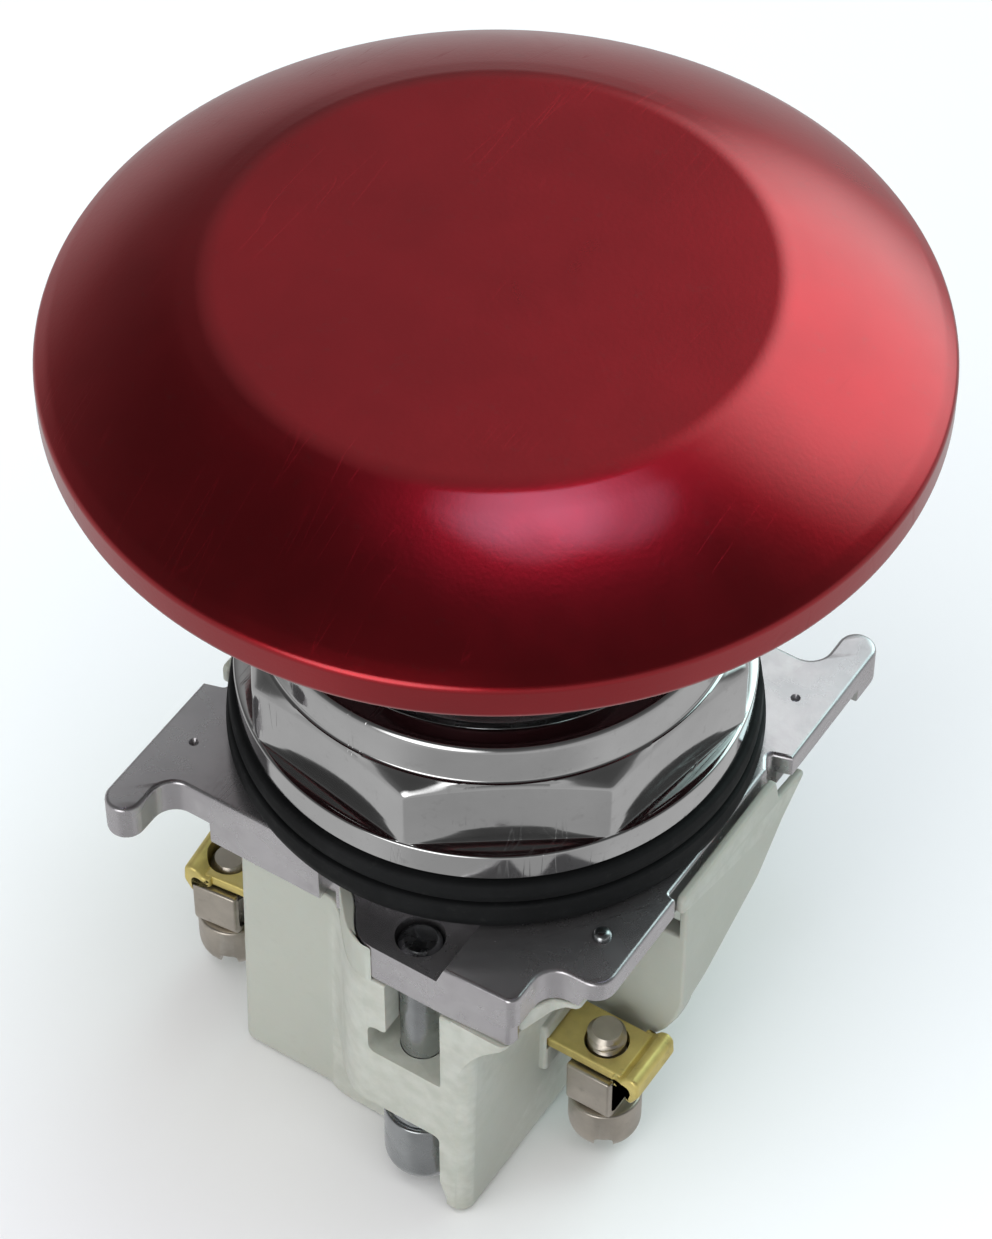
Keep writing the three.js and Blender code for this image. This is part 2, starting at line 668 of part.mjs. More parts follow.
const coverTop = BLOCK_TOP - 0.2;
const cover = cutBy(
  box(-COVER_HALF_X + 0.2, COVER_HALF_X - 0.2, -COVER_HALF_Y + 0.2, COVER_HALF_Y - 0.2,
    BLOCK_TOP - COVER_DEPTH + THIN_GAP, coverTop),
  box(-SLOT_HALF_X, SLOT_HALF_X, -SLOT_HALF_Y, SLOT_HALF_Y, BLOCK_TOP - 3, BLOCK_TOP + 1),
);
piece(block, 'block_cover', cover, paleNylon());

// ---- moving contact: carrier, bridge, springs ---------------------------------------

const BRIDGE_TOP = -23.2;
const BRIDGE_THICK = 0.8;
const CARRIER_TOP = BAR_LOW - THIN_GAP;
const CARRIER_HALF = 2.5;
const CARRIER_STEM = 1.2;
const TIP_RADIUS = 1.7;
const TIP_X = 6.2;
const TIP_THICK = 0.75;

const carrier = joined(
  box(-CARRIER_HALF, CARRIER_HALF, CONTACT_Y - CARRIER_HALF, CONTACT_Y + CARRIER_HALF,
    BRIDGE_TOP + THIN_GAP, CARRIER_TOP),
  rod(CARRIER_STEM, -26.6, BRIDGE_TOP + 1, 20, 0, CONTACT_Y),
);
piece(block, 'contact_carrier', carrier, blackNylon());

const bridge = cutBy(
  box(-8, 8, CONTACT_Y - 2.2, CONTACT_Y + 2.2, BRIDGE_TOP - BRIDGE_THICK, BRIDGE_TOP),
  rod(CARRIER_STEM + 0.2, BRIDGE_TOP - 2, BRIDGE_TOP + 1, 20, 0, CONTACT_Y),
);
piece(block, 'contact_bridge', bridge, brass());

const contactSpring = coil(2.1, 0.25, BAY_FLOOR + THIN_GAP, BRIDGE_TOP - BRIDGE_THICK - THIN_GAP,
  5, 12, 6).translate([0, CONTACT_Y, 0]);
piece(block, 'contact_spring', contactSpring, springSteel());

// ---- terminals: strip, silver tips, clamp, screw ------------------------------------

const STRIP_LOW = STRIP_TOP - STRIP_THICK;

// The strip ends in an edge rolled outwards and down, at the given distance out.
function makeStrip(reach) {
  const flat = box(STRIP_INNER, reach - 1.8, CONTACT_Y - STRIP_HALF_WIDTH,
    CONTACT_Y + STRIP_HALF_WIDTH, STRIP_LOW, STRIP_TOP);
  const roll = prismAlongY([
    [-2.4, 0],
    [-1.8, -0.2],
    [-1.3, 0.4],
    [-0.6, 0.7],
    [0, 0.2],
    [0.1, -1.2],
    [-0.6, -2.5],
    [-1.2, -2.2],
    [-0.9, -1.1],
    [-1.2, -0.6],
    [-1.7, -1],
    [-2.4, -STRIP_THICK],
  ].map(([x, z]) => [reach + x, STRIP_TOP + z]), CONTACT_Y - LIP_HALF_WIDTH,
  CONTACT_Y + LIP_HALF_WIDTH);
  const hole = rod(TERMINAL_SCREW_RADIUS + 0.2, STRIP_LOW - 1, STRIP_TOP + 1, 20, CLAMP_X, CONTACT_Y);
  return cutBy(joined(flat, roll), hole);
}

// A channel whose two walls reach up to the strip, with the screw through its floor.
function makeClamp() {
  const [left, right] = [CLAMP_X - CLAMP_HALF_X, CLAMP_X + CLAMP_HALF_X];
  const [front, back] = [CONTACT_Y - CLAMP_HALF_Y, CONTACT_Y + CLAMP_HALF_Y];
  const top = STRIP_LOW - GAP;
  const outer = box(left, right, front, back, CLAMP_BOTTOM, top);
  const inside = box(left - 1, right + 1, front + CLAMP_WALL, back - CLAMP_WALL,
    CLAMP_BOTTOM + CLAMP_WALL, top + 1);
  const hole = rod(TERMINAL_SCREW_RADIUS + 0.2, CLAMP_BOTTOM - 1, top, 20, CLAMP_X, CONTACT_Y);
  return cutBy(outer, inside, hole);
}

function makeTerminalScrew() {
  const head = CLAMP_BOTTOM - THIN_GAP;
  const screw = turned([
    [0, STRIP_TOP + 1.6],
    [TERMINAL_SCREW_RADIUS - 0.4, STRIP_TOP + 1.6],
    [TERMINAL_SCREW_RADIUS, STRIP_TOP + 1.2],
    [TERMINAL_SCREW_RADIUS, head],
    [TERMINAL_HEAD_RADIUS, head],
    [TERMINAL_HEAD_RADIUS, head - 3.8],
    [TERMINAL_HEAD_RADIUS - 0.9, head - 4.9],
    [0, head - 5.2],
  ], 28).translate([CLAMP_X, CONTACT_Y, 0]);
  const slot = box(CLAMP_X - 4, CLAMP_X + 4, CONTACT_Y - 0.5, CONTACT_Y + 0.5,
    head - 6, head - 3.2);
  return cutBy(screw, slot);
}

for (const [side, place] of Object.entries(SIDES)) {
  piece(block, `terminal_strip_${side}`, place(makeStrip(STRIP_REACH[side])), brass());
  piece(block, `clamp_${side}`, place(makeClamp()), nickel());
  piece(block, `terminal_screw_${side}`, place(makeTerminalScrew()), nickel());
  const fixedTip = rod(TIP_RADIUS, STRIP_LOW - TIP_THICK, STRIP_LOW - 0.02, 20, TIP_X, CONTACT_Y);
  piece(block, `fixed_tip_${side}`, place(fixedTip), silver());
  const movingTip = rod(TIP_RADIUS, BRIDGE_TOP + 0.02, BRIDGE_TOP + TIP_THICK, 20, TIP_X, CONTACT_Y);
  piece(block, `moving_tip_${side}`, place(movingTip), silver());
}

// ---- long mounting screws with their lock washers -----------------------------------

const LOCK_THICK = 0.8;
const MOUNT_HEAD_TOP = HEAD_SEAT - LOCK_THICK - 2 * THIN_GAP;

function makeMountingScrew() {
  const screw = turned([
    [0, PAD_TOP - 0.3],
    [SCREW_RADIUS - 0.4, PAD_TOP - 0.3],
    [SCREW_RADIUS, PAD_TOP - 0.7],
    [SCREW_RADIUS, MOUNT_HEAD_TOP],
    [SCREW_HEAD_RADIUS - 0.3, MOUNT_HEAD_TOP],
    [SCREW_HEAD_RADIUS, MOUNT_HEAD_TOP - 0.3],
    [SCREW_HEAD_RADIUS, -30.8],
    [SCREW_HEAD_RADIUS - 1, -31.9],
    [0, -31.9],
  ], 28).translate([SCREW_AT.x, SCREW_AT.y, 0]);
  const slot = box(SCREW_AT.x - 0.5, SCREW_AT.x + 0.5, SCREW_AT.y - 4, SCREW_AT.y + 4, -33, -30.4);
  return cutBy(screw, slot);
}

function makeLockWasher() {
  const flat = ring(SCREW_RADIUS + 0.2, 2.9, HEAD_SEAT - THIN_GAP - LOCK_THICK,
    HEAD_SEAT - THIN_GAP, 28);
  const split = box(-4, -1, -0.25, 0.25, HEAD_SEAT - 2, HEAD_SEAT + 1);
  return cutBy(flat, split).translate([SCREW_AT.x, SCREW_AT.y, 0]);
}

for (const [end, turn] of Object.entries(PIN_ENDS)) {
  piece(button, `mounting_screw_${end}`, makeMountingScrew().rotate([0, 0, turn]), zincSteel());
  piece(button, `lock_washer_${end}`, makeLockWasher().rotate([0, 0, turn]), zincSteel());
}

export default button;
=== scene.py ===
"""Heavy-duty mushroom push button with its contact block: looks, camera and studio light.

Lengths in the shape code are millimetres and become metres when a mesh is made.
"""

import math

import bmesh
import bpy
import numpy as np
from mathutils import Matrix, Vector


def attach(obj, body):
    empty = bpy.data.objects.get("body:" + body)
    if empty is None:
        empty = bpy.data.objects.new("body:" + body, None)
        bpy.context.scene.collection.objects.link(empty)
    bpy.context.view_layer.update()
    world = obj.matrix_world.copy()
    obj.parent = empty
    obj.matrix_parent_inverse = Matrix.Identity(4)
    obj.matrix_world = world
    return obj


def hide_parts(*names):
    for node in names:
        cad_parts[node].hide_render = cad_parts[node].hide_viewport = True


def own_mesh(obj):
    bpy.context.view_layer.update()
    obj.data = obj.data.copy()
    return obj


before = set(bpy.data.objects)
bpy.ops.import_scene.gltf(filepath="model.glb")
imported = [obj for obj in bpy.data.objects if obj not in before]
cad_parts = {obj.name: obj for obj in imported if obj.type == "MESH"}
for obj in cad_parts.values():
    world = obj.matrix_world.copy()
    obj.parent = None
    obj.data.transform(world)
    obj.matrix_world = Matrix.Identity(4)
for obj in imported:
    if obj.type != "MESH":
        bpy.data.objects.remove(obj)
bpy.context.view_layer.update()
SCENE = bpy.context.scene

MM = 0.001

# ---- materials ----------------------------------------------------------------------

MARK_STRETCH = 0.05
MARK_WIDTH = 0.006
MARK_DEPTH = 0.05
MARK_DULLING = 0.2
MARK_PATCHES = 90.0
WEAR_PATCHES = 700.0
PEEL_SCALE = 260.0
BUMP_HEIGHT = 0.0002
SCATTER_DEPTH = 0.001


def node_tree(name):
    """A new material with its node tree and its one shader."""
    material = bpy.data.materials.new(name)
    material.use_nodes = True
    tree = material.node_tree
    tree.nodes.clear()
    output = tree.nodes.new("ShaderNodeOutputMaterial")
    shader = tree.nodes.new("ShaderNodeBsdfPrincipled")
    tree.links.new(shader.outputs["BSDF"], output.inputs["Surface"])
    return material, tree, shader


def noise(tree, vector, scale, detail=4.0, roughness=0.55, distortion=0.0):
    node = tree.nodes.new("ShaderNodeTexNoise")
    node.inputs["Scale"].default_value = scale
    node.inputs["Detail"].default_value = detail
    node.inputs["Roughness"].default_value = roughness
    node.inputs["Distortion"].default_value = distortion
    tree.links.new(vector, node.inputs["Vector"])
    return node.outputs["Fac"]


def remap(tree, value, low, high, to_low, to_high):
    """The value carried from one range to another and held within it."""
    node = tree.nodes.new("ShaderNodeMapRange")
    node.inputs["From Min"].default_value = low
    node.inputs["From Max"].default_value = high
    node.inputs["To Min"].default_value = to_low
    node.inputs["To Max"].default_value = to_high
    tree.links.new(value, node.inputs["Value"])
    return node.outputs["Result"]


def calculate(tree, operation, first, second):
    node = tree.nodes.new("ShaderNodeMath")
    node.operation = operation
    for socket, value in zip(node.inputs, (first, second)):
        if isinstance(value, (int, float)):
            socket.default_value = value
        else:
            tree.links.new(value, socket)
    return node.outputs["Value"]


def blend_colours(tree, share, first, second):
    """A mix of two colours, each a tuple or a socket."""
    node = tree.nodes.new("ShaderNodeMix")
    node.data_type = "RGBA"
    tree.links.new(share, node.inputs["Factor"])
    for socket, value in ((node.inputs[6], first), (node.inputs[7], second)):
        if isinstance(value, tuple):
            socket.default_value = (*value, 1.0)
        else:
            tree.links.new(value, socket)
    return node.outputs[2]


def stretched(tree, vector, scale):
    node = tree.nodes.new("ShaderNodeMapping")
    node.inputs["Scale"].default_value = scale
    tree.links.new(vector, node.inputs["Vector"])
    return node.outputs["Vector"]


def scratches(tree, vector, scale, width):
    """Thin straight marks: 1 on a mark, 0 beside it."""
    bent = stretched(tree, vector, (scale, scale * MARK_STRETCH, scale * MARK_STRETCH))
    lines = noise(tree, bent, 1.0, 2.0, 0.5, 0.3)
    off_centre = calculate(tree, "ABSOLUTE", calculate(tree, "SUBTRACT", lines, 0.5), 0.0)
    return remap(tree, off_centre, 0.0, width, 1.0, 0.0)


def finish(name, base, metallic, rough, *, drift=0.12, drift_scale=120.0, grain=900.0,
           grain_depth=0.04, worn=None, worn_share=0.5, marks=0.0, marks_scale=500.0,
           coat=0.0, coat_rough=0.1, dust=None, specular=0.5, peel=0.0, subsurface=0.0):
    """A finish with drifting tone, uneven gloss, fine grain, edge wear and handling marks.

    rough is the least and the greatest roughness; dust is its colour, share and scale.
    """
    material, tree, shader = node_tree(name)
    place = tree.nodes.new("ShaderNodeTexCoord").outputs["Object"]
    broad = noise(tree, place, drift_scale, 5.0)
    shade = tuple(max(0.0, c * (1 - drift * 2)) for c in base)
    light = tuple(min(1.0, c * (1 + drift)) for c in base)
    colour = blend_colours(tree, remap(tree, broad, 0.3, 0.7, 0.0, 1.0), shade, light)
    if dust:
        dust_colour, dust_share, dust_scale = dust
        specks = noise(tree, place, dust_scale, 6.0, 0.75)
        colour = blend_colours(tree, remap(tree, specks, 0.58, 0.78, 0.0, dust_share),
                               colour, dust_colour)
    if worn:
        edge = tree.nodes.new("ShaderNodeNewGeometry").outputs["Pointiness"]
        uneven = calculate(tree, "MULTIPLY", remap(tree, edge, 0.52, 0.62, 0.0, 1.0),
                           remap(tree, noise(tree, place, WEAR_PATCHES, 6.0),
                                 0.35, 0.65, 0.0, 1.0))
        colour = blend_colours(tree, calculate(tree, "MULTIPLY", uneven, worn_share),
                               colour, worn)
    tree.links.new(colour, shader.inputs["Base Color"])
    smear = noise(tree, place, drift_scale * 2.3, 6.0, 0.6, 0.4)
    gloss = remap(tree, smear, 0.3, 0.72, rough[0], rough[1])
    fine = noise(tree, place, grain, 3.0, 0.6)
    height = calculate(tree, "MULTIPLY", fine, grain_depth)
    if marks:
        mark = scratches(tree, place, marks_scale, MARK_WIDTH)
        mask = remap(tree, noise(tree, place, MARK_PATCHES, 2.0), 0.52, 0.6, 0.0, marks)
        mark = calculate(tree, "MULTIPLY", mark, mask)
        height = calculate(tree, "SUBTRACT", height,
                           calculate(tree, "MULTIPLY", mark, MARK_DEPTH))
        gloss = calculate(tree, "ADD", gloss, calculate(tree, "MULTIPLY", mark, MARK_DULLING))
    if peel:
        swell = noise(tree, place, PEEL_SCALE, 2.0)
        height = calculate(tree, "ADD", height, calculate(tree, "MULTIPLY", swell, peel))
    tree.links.new(gloss, shader.inputs["Roughness"])
    bump = tree.nodes.new("ShaderNodeBump")
    bump.inputs["Strength"].default_value = 1.0
    bump.inputs["Distance"].default_value = BUMP_HEIGHT
    tree.links.new(height, bump.inputs["Height"])
    tree.links.new(bump.outputs["Normal"], shader.inputs["Normal"])
    shader.inputs["Metallic"].default_value = metallic
    shader.inputs["Specular IOR Level"].default_value = specular
    shader.inputs["Coat Weight"].default_value = coat
    shader.inputs["Coat Roughness"].default_value = coat_rough
    shader.inputs["Subsurface Weight"].default_value = subsurface
    shader.inputs["Subsurface Scale"].default_value = SCATTER_DEPTH
    return material


RED = finish("red_anodised", (0.47, 0.012, 0.022), 1.0, (0.27, 0.36), drift=0.06,
             drift_scale=60.0, grain=2600.0, grain_depth=0.05, coat=0.75, coat_rough=0.07,
             marks=0.5, marks_scale=420.0, worn=(0.75, 0.2, 0.2),
             dust=((0.2, 0.06, 0.06), 0.25, 900.0))
# The head's underside takes a near-black copy of the red finish: painted shade where the head's
# own shadow falls.
RED_PAINTED_SHADE_UNDERSIDE = finish("red_underside_painted_shade", (0.03, 0.004, 0.006), 0.6, (0.45, 0.6), drift=0.15,
                       grain=1500.0, grain_depth=0.08, dust=((0.09, 0.05, 0.05), 0.4, 800.0))
CHROME = finish("nut_chrome_finish", (0.66, 0.66, 0.66), 1.0, (0.05, 0.13), drift=0.05,
                grain=1500.0, grain_depth=0.012, marks=0.6, worn=(0.75, 0.75, 0.74),
                dust=((0.35, 0.34, 0.33), 0.4, 800.0))
CAST = finish("housing_cast_finish", (0.62, 0.60, 0.62), 0.92, (0.2, 0.32), drift=0.07,
              grain=1400.0, grain_depth=0.04, marks=0.1, worn=(0.72, 0.71, 0.72),
              peel=0.04, dust=((0.3, 0.29, 0.29), 0.35, 700.0))
RUBBER = finish("rubber_finish", (0.008, 0.0085, 0.009), 0.0, (0.6, 0.85), drift=0.2,
                grain=2200.0, grain_depth=0.12, dust=((0.05, 0.05, 0.047), 0.4, 1300.0),
                specular=0.2)
NYLON = finish("pale_nylon_finish", (0.44, 0.455, 0.40), 0.0, (0.38, 0.52), drift=0.03,
               drift_scale=70.0, grain=1800.0, grain_depth=0.10, peel=0.1,
               worn=(0.56, 0.57, 0.52), worn_share=0.6, marks=0.12,
               dust=((0.3, 0.3, 0.26), 0.22, 650.0), subsurface=0.08)
BLACK_NYLON = finish("black_nylon_finish", (0.014, 0.014, 0.015), 0.0, (0.35, 0.5),
                     grain=1500.0, grain_depth=0.08, dust=((0.08, 0.08, 0.08), 0.3, 900.0))
BRASS = finish("brass_finish", (0.74, 0.61, 0.21), 0.7, (0.3, 0.48), drift=0.15,
               drift_scale=260.0, grain=1700.0, grain_depth=0.05, marks=0.9,
               worn=(0.78, 0.66, 0.32), dust=((0.2, 0.14, 0.06), 0.5, 600.0))
NICKEL = finish("nickel_finish", (0.56, 0.51, 0.44), 0.95, (0.28, 0.42), drift=0.12,
                drift_scale=240.0, grain=1500.0, grain_depth=0.05, marks=0.8,
                worn=(0.66, 0.63, 0.57), dust=((0.18, 0.15, 0.11), 0.5, 600.0))
ZINC = finish("zinc_steel_finish", (0.47, 0.49, 0.50), 1.0, (0.18, 0.34), drift=0.1,
              drift_scale=260.0, grain=1600.0, grain_depth=0.05, marks=0.7,
              worn=(0.7, 0.71, 0.72), dust=((0.2, 0.2, 0.19), 0.4, 600.0))
SPRING = finish("spring_steel_finish", (0.40, 0.41, 0.43), 1.0, (0.2, 0.35),
                grain=1500.0, grain_depth=0.04, marks=0.4)
SILVER = finish("silver_finish", (0.75, 0.74, 0.71), 1.0, (0.2, 0.35), grain=1500.0,
                grain_depth=0.04, marks=0.4, dust=((0.4, 0.38, 0.33), 0.3, 700.0))

# ---- mesh tools ---------------------------------------------------------------------

AXIS_RADIUS = 1e-9
WELD_METRES = 1e-7


def arc(centre_x, centre_y, radius, start, end, steps):
    """Points on an arc, angles in degrees."""
    angles = np.radians(np.linspace(start, end, steps + 1))
    return [(centre_x + radius * math.cos(a), centre_y + radius * math.sin(a)) for a in angles]


def rounded(points, radius, steps=4, closed=True):
    """The polygon with its corners rounded; radius is one number or one for each corner."""
    count = len(points)
    radii = [radius] * count if isinstance(radius, (int, float)) else list(radius)
    result = []
    for i, point in enumerate(points):
        at_end = not closed and i in (0, count - 1)
        here = np.array(point, float)
        before = np.array(points[i - 1], float) - here
        after = np.array(points[(i + 1) % count], float) - here
        reach = min(np.linalg.norm(before), np.linalg.norm(after))
        if at_end or radii[i] <= 0 or reach < 1e-6:
            result.append(tuple(here))
            continue
        before /= np.linalg.norm(before)
        after /= np.linalg.norm(after)
        turn = math.acos(max(-1.0, min(1.0, float(before @ after))))
        if turn > math.pi - 0.02:
            result.append(tuple(here))
            continue
        trim = min(radii[i] / math.tan(turn / 2), reach * 0.48)
        fillet = trim * math.tan(turn / 2)
        middle = (before + after) / np.linalg.norm(before + after)
        centre = here + middle * (fillet / math.sin(turn / 2))
        first = here + before * trim - centre
        last = here + after * trim - centre
        start = math.atan2(first[1], first[0])
        sweep = math.atan2(last[1], last[0]) - start
        sweep = (sweep + math.pi) % (2 * math.pi) - math.pi
        for step in range(steps + 1):
            angle = start + sweep * step / steps
            result.append((centre[0] + fillet * math.cos(angle),
                           centre[1] + fillet * math.sin(angle)))
    return result


def bezier(p0, p1, p2, p3, steps):
    """Points along a cubic curve, without its first."""
    t = np.linspace(0, 1, steps + 1)[1:, None]
    p0, p1, p2, p3 = (np.array(p, float) for p in (p0, p1, p2, p3))
    points = ((1 - t) ** 3 * p0 + 3 * (1 - t) ** 2 * t * p1 + 3 * (1 - t) * t ** 2 * p2
              + t ** 3 * p3)
    return [tuple(p) for p in points]


def object_from(name, vertices, faces):
    """A new piece from vertices in millimetres and faces."""
    mesh = bpy.data.meshes.new(name)
    mesh.from_pydata([tuple(np.array(v, float) * MM) for v in vertices], [], faces)
    work = bmesh.new()
    work.from_mesh(mesh)
    bmesh.ops.remove_doubles(work, verts=work.verts, dist=WELD_METRES)
    bmesh.ops.recalc_face_normals(work, faces=work.faces)
    work.to_mesh(mesh)
    work.free()
    item = bpy.data.objects.new(name, mesh)
    SCENE.collection.objects.link(item)
    return item


def turned(name, sections):
    """A solid from closed sections of (radius, z), one for each of many equal angles."""
    segments, count = len(sections), len(sections[0])
    vertices, faces = [], []
    for j, section in enumerate(sections):
        angle = 2 * math.pi * j / segments
        vertices += [(r * math.cos(angle), r * math.sin(angle), z) for r, z in section]
    for j in range(segments):
        a, b = j * count, ((j + 1) % segments) * count
        for i in range(count):
            k = (i + 1) % count
            if sections[0][i][0] < AXIS_RADIUS and sections[0][k][0] < AXIS_RADIUS:
                continue
            faces.append((a + i, b + i, b + k, a + k))
    return object_from(name, vertices, faces)


def revolve(name, profile, segments=160, wobble=None):
    """A closed profile of (radius, z) turned about Z; wobble(angle, r, z) may reshape it."""
    if wobble is None:
        return turned(name, [profile] * segments)
    angles = [2 * math.pi * j / segments for j in range(segments)]
    return turned(name, [[wobble(angle, r, z) for r, z in profile] for angle in angles])


def inward(outline, distance):
    """The counter-clockwise outline moved inwards by a small distance."""
    points = np.array(outline, float)
    ahead = np.roll(points, -1, 0) - points
    ahead /= np.maximum(np.linalg.norm(ahead, axis=1, keepdims=True), 1e-9)
    back = np.roll(ahead, 1, 0)
    normal = np.stack([-(ahead[:, 1] + back[:, 1]), ahead[:, 0] + back[:, 0]], 1)
    length = np.linalg.norm(normal, axis=1, keepdims=True)
    stretch = np.minimum(2.0 / np.maximum(length, 0.7), 2.8)
    return points + normal / np.maximum(length, 1e-9) * distance * stretch


def slab(name, outline, low, high, round_low=0.0, round_high=0.0, steps=4):
    """The outline extruded in Z, with rounded lower and upper edges."""
    angles = [math.pi / 2 * step / steps for step in range(steps + 1)]
    loops = [(0.0, low)]
    if round_low > 0:
        loops = [(round_low * (1 - math.sin(angle)), low + round_low * (1 - math.cos(angle)))
                 for angle in angles]
    if round_high > 0:
        loops += [(round_high * (1 - math.cos(angle)), high - round_high * (1 - math.sin(angle)))
                  for angle in angles]
    else:
        loops.append((0.0, high))
    vertices, faces = [], []
    count = len(outline)
    for distance, z in loops:
        ring = inward(outline, distance) if distance else np.array(outline, float)
        vertices += [(x, y, z) for x, y in ring]
    for level in range(len(loops) - 1):
        a, b = level * count, (level + 1) * count
        for i in range(count):
            k = (i + 1) % count
            faces.append((a + i, a + k, b + k, b + i))
    faces.append(tuple(reversed(range(count))))
    faces.append(tuple(range((len(loops) - 1) * count, len(loops) * count)))
    return object_from(name, vertices, faces)


def remade(item, order):
    """The shape with its axes exchanged, so that a slab can lie along X or Y."""
    for vertex in item.data.vertices:
        vertex.co = [vertex.co[k] for k in order]
    work = bmesh.new()
    work.from_mesh(item.data)
    bmesh.ops.recalc_face_normals(work, faces=work.faces)
    work.to_mesh(item.data)
    work.free()
    return item


def anticlockwise(outline):
    """The outline in the order that slab needs, whichever way it was written."""
    points = np.array(outline, float)
    ahead = np.roll(points, -1, 0)
    area = (points[:, 0] * ahead[:, 1] - ahead[:, 0] * points[:, 1]).sum()
    return outline if area > 0 else list(reversed(outline))


def beam_x(name, outline, low, high, edge=0.0):
    """An outline in Y and Z, extruded along X."""
    return remade(slab(name, anticlockwise(outline), low, high, edge, edge), (2, 0, 1))


def beam_y(name, outline, low, high, edge=0.0):
    """An outline in X and Z, extruded along Y."""
    return remade(slab(name, anticlockwise(outline), low, high, edge, edge), (0, 2, 1))


def block_shape(name, low_x, high_x, low_y, high_y, low_z, high_z):
    return slab(name, rectangle(low_x, high_x, low_y, high_y), low_z, high_z)


def rectangle(low_x, high_x, low_y, high_y, corner=0.0, steps=4):
    points = [(low_x, low_y), (high_x, low_y), (high_x, high_y), (low_x, high_y)]
    return rounded(points, corner, steps) if corner else points


def round_bar(name, x, y, radius, low, high, segments=48, edge=0.0):
    outline = [(x + px, y + py) for px, py in arc(0, 0, radius, 0, 360, segments)[:-1]]
    return slab(name, outline, low, high, edge, edge)


def turn_half(item):
    """A copy of the piece, half a turn round about Z."""
    twin = item.copy()
    twin.data = item.data.copy()
    for vertex in twin.data.vertices:
        vertex.co.x, vertex.co.y = -vertex.co.x, -vertex.co.y
    SCENE.collection.objects.link(twin)
    return twin


def moved(item, x=0.0, y=0.0, z=0.0):
    for vertex in item.data.vertices:
        vertex.co += Vector((x, y, z)) * MM
    return item


def settle(item):
    """Turns the piece's modifiers into its mesh."""
    bpy.context.view_layer.update()
    evaluated = item.evaluated_get(bpy.context.evaluated_depsgraph_get())
    mesh = bpy.data.meshes.new_from_object(evaluated)
    item.modifiers.clear()
    item.data = mesh
    return item


def combine(base, others, operation):
    """Joins or cuts the base with each of the others, and removes them."""
    for other in others:
        shaping = base.modifiers.new("shape", "BOOLEAN")
        shaping.operation = operation
        shaping.solver = "MANIFOLD"
        shaping.object = other
        settle(base)
        bpy.data.objects.remove(other)
    return base


def join(base, *others):
    return combine(base, others, "UNION")


def cut(base, *others):
    return combine(base, others, "DIFFERENCE")


def soften(item, width, steps=2, angle=35, below=1000.0):
    """Rounds the sharp edges that the cuts left, up to the height below."""
    work = bmesh.new()
    work.from_mesh(item.data)
    bmesh.ops.dissolve_limit(work, angle_limit=math.radians(0.5), verts=work.verts,
                             edges=work.edges)
    sharp = [edge for edge in work.edges
             if edge.calc_face_angle(0.0) > math.radians(angle)
             and max(end.co.z for end in edge.verts) < below * MM]
    bmesh.ops.bevel(work, geom=sharp, offset=width * MM, segments=steps, profile=0.5,
                    affect="EDGES", clamp_overlap=True)
    bmesh.ops.connect_verts_concave(work, faces=work.faces)
    work.to_mesh(item.data)
    work.free()
    return item


def mirror_x(item):
    """Turns the piece into its mirror image in X."""
    item.data.transform(Matrix.Diagonal((-1, 1, 1, 1)))
    item.data.flip_normals()
    return item


def finished(item, material, slot_name, body, *nodes, smooth=38):
    """Gives the piece its finish, smooth shading, body and the CAD nodes it stands for."""
    item.data.materials.clear()
    item.data.materials.append(material)
    for face in item.data.polygons:
        face.use_smooth = True
    item.data.set_sharp_from_angle(angle=math.radians(smooth))
    even = item.modifiers.new("even shading", "WEIGHTED_NORMAL")
    even.keep_sharp = True
    even.weight = 80
    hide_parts(*nodes)
    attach(item, body)
    return item


def finished_pair(front, material, slot_name, node):
    """Finishes a piece of the operator at the front, and its twin at the rear."""
    rear = turn_half(front)
    rear.name = front.name.replace("front", "rear")
    finished(front, material, slot_name, "operator", node + "_front")
    finished(rear, material, slot_name, "operator", node + "_rear")


# ---- mushroom head ------------------------------------------------------------------

HEAD_RADIUS = 32.5
HEAD_FLAT_RADIUS = 20.2
HEAD_TOP = 47.4
RIM_TOP = 41.2
RIM_BOTTOM = 37.7
RIM_ROUND = 0.8
FLANK_START = 17
FLANK_END = 38
HUB_RADIUS = 9
HUB_BOTTOM = 25
HUB_BORE = 4.3
HUB_BORE_TOP = 37
HEAD_CEILING = 43.4
RIM_BORE = 29.9
UNDERSIDE_RADIUS = 31.8


def head_profile():
    run = HEAD_RADIUS - RIM_ROUND * 0.6 - HEAD_FLAT_RADIUS
    start, end = math.radians(FLANK_START), math.radians(FLANK_END)
    radius = run / (math.sin(end) - math.sin(start))
    centre_r = HEAD_FLAT_RADIUS - radius * math.sin(start)
    centre_z = HEAD_TOP - radius * math.cos(start)
    flank = arc(centre_r, centre_z, radius, 90 - FLANK_START, 90 - FLANK_END, 28)
    outer = [(0.0, HEAD_TOP)]
    outer += [(r, HEAD_TOP) for r in (6, 12, 16, 18)]
    edge = rounded([(18.0, HEAD_TOP), flank[0], flank[4]], 5.0, 8, closed=False)[1:]
    outer += edge + flank[5:-1]
    outer += arc(HEAD_RADIUS - RIM_ROUND, RIM_TOP - RIM_ROUND, RIM_ROUND, 52, 0, 8)
    outer += [(HEAD_RADIUS, (RIM_TOP + RIM_BOTTOM) / 2)]
    outer += arc(HEAD_RADIUS - RIM_ROUND, RIM_BOTTOM + RIM_ROUND, RIM_ROUND, 0, -90, 8)
    inner = [
        (RIM_BORE, RIM_BOTTOM),
        (RIM_BORE - 0.8, RIM_BOTTOM + 1),
        (HEAD_FLAT_RADIUS, HEAD_CEILING),
        (HUB_RADIUS, HEAD_CEILING),
        (HUB_RADIUS, HUB_BOTTOM),
        (HUB_BORE, HUB_BOTTOM),
        (HUB_BORE, HUB_BORE_TOP),
        (0.0, HUB_BORE_TOP),
    ]
    return outer + rounded(inner, (0.2, 0.5, 2.0, 1.2, 0.6, 0.3, 0.3, 0), 5, closed=False)


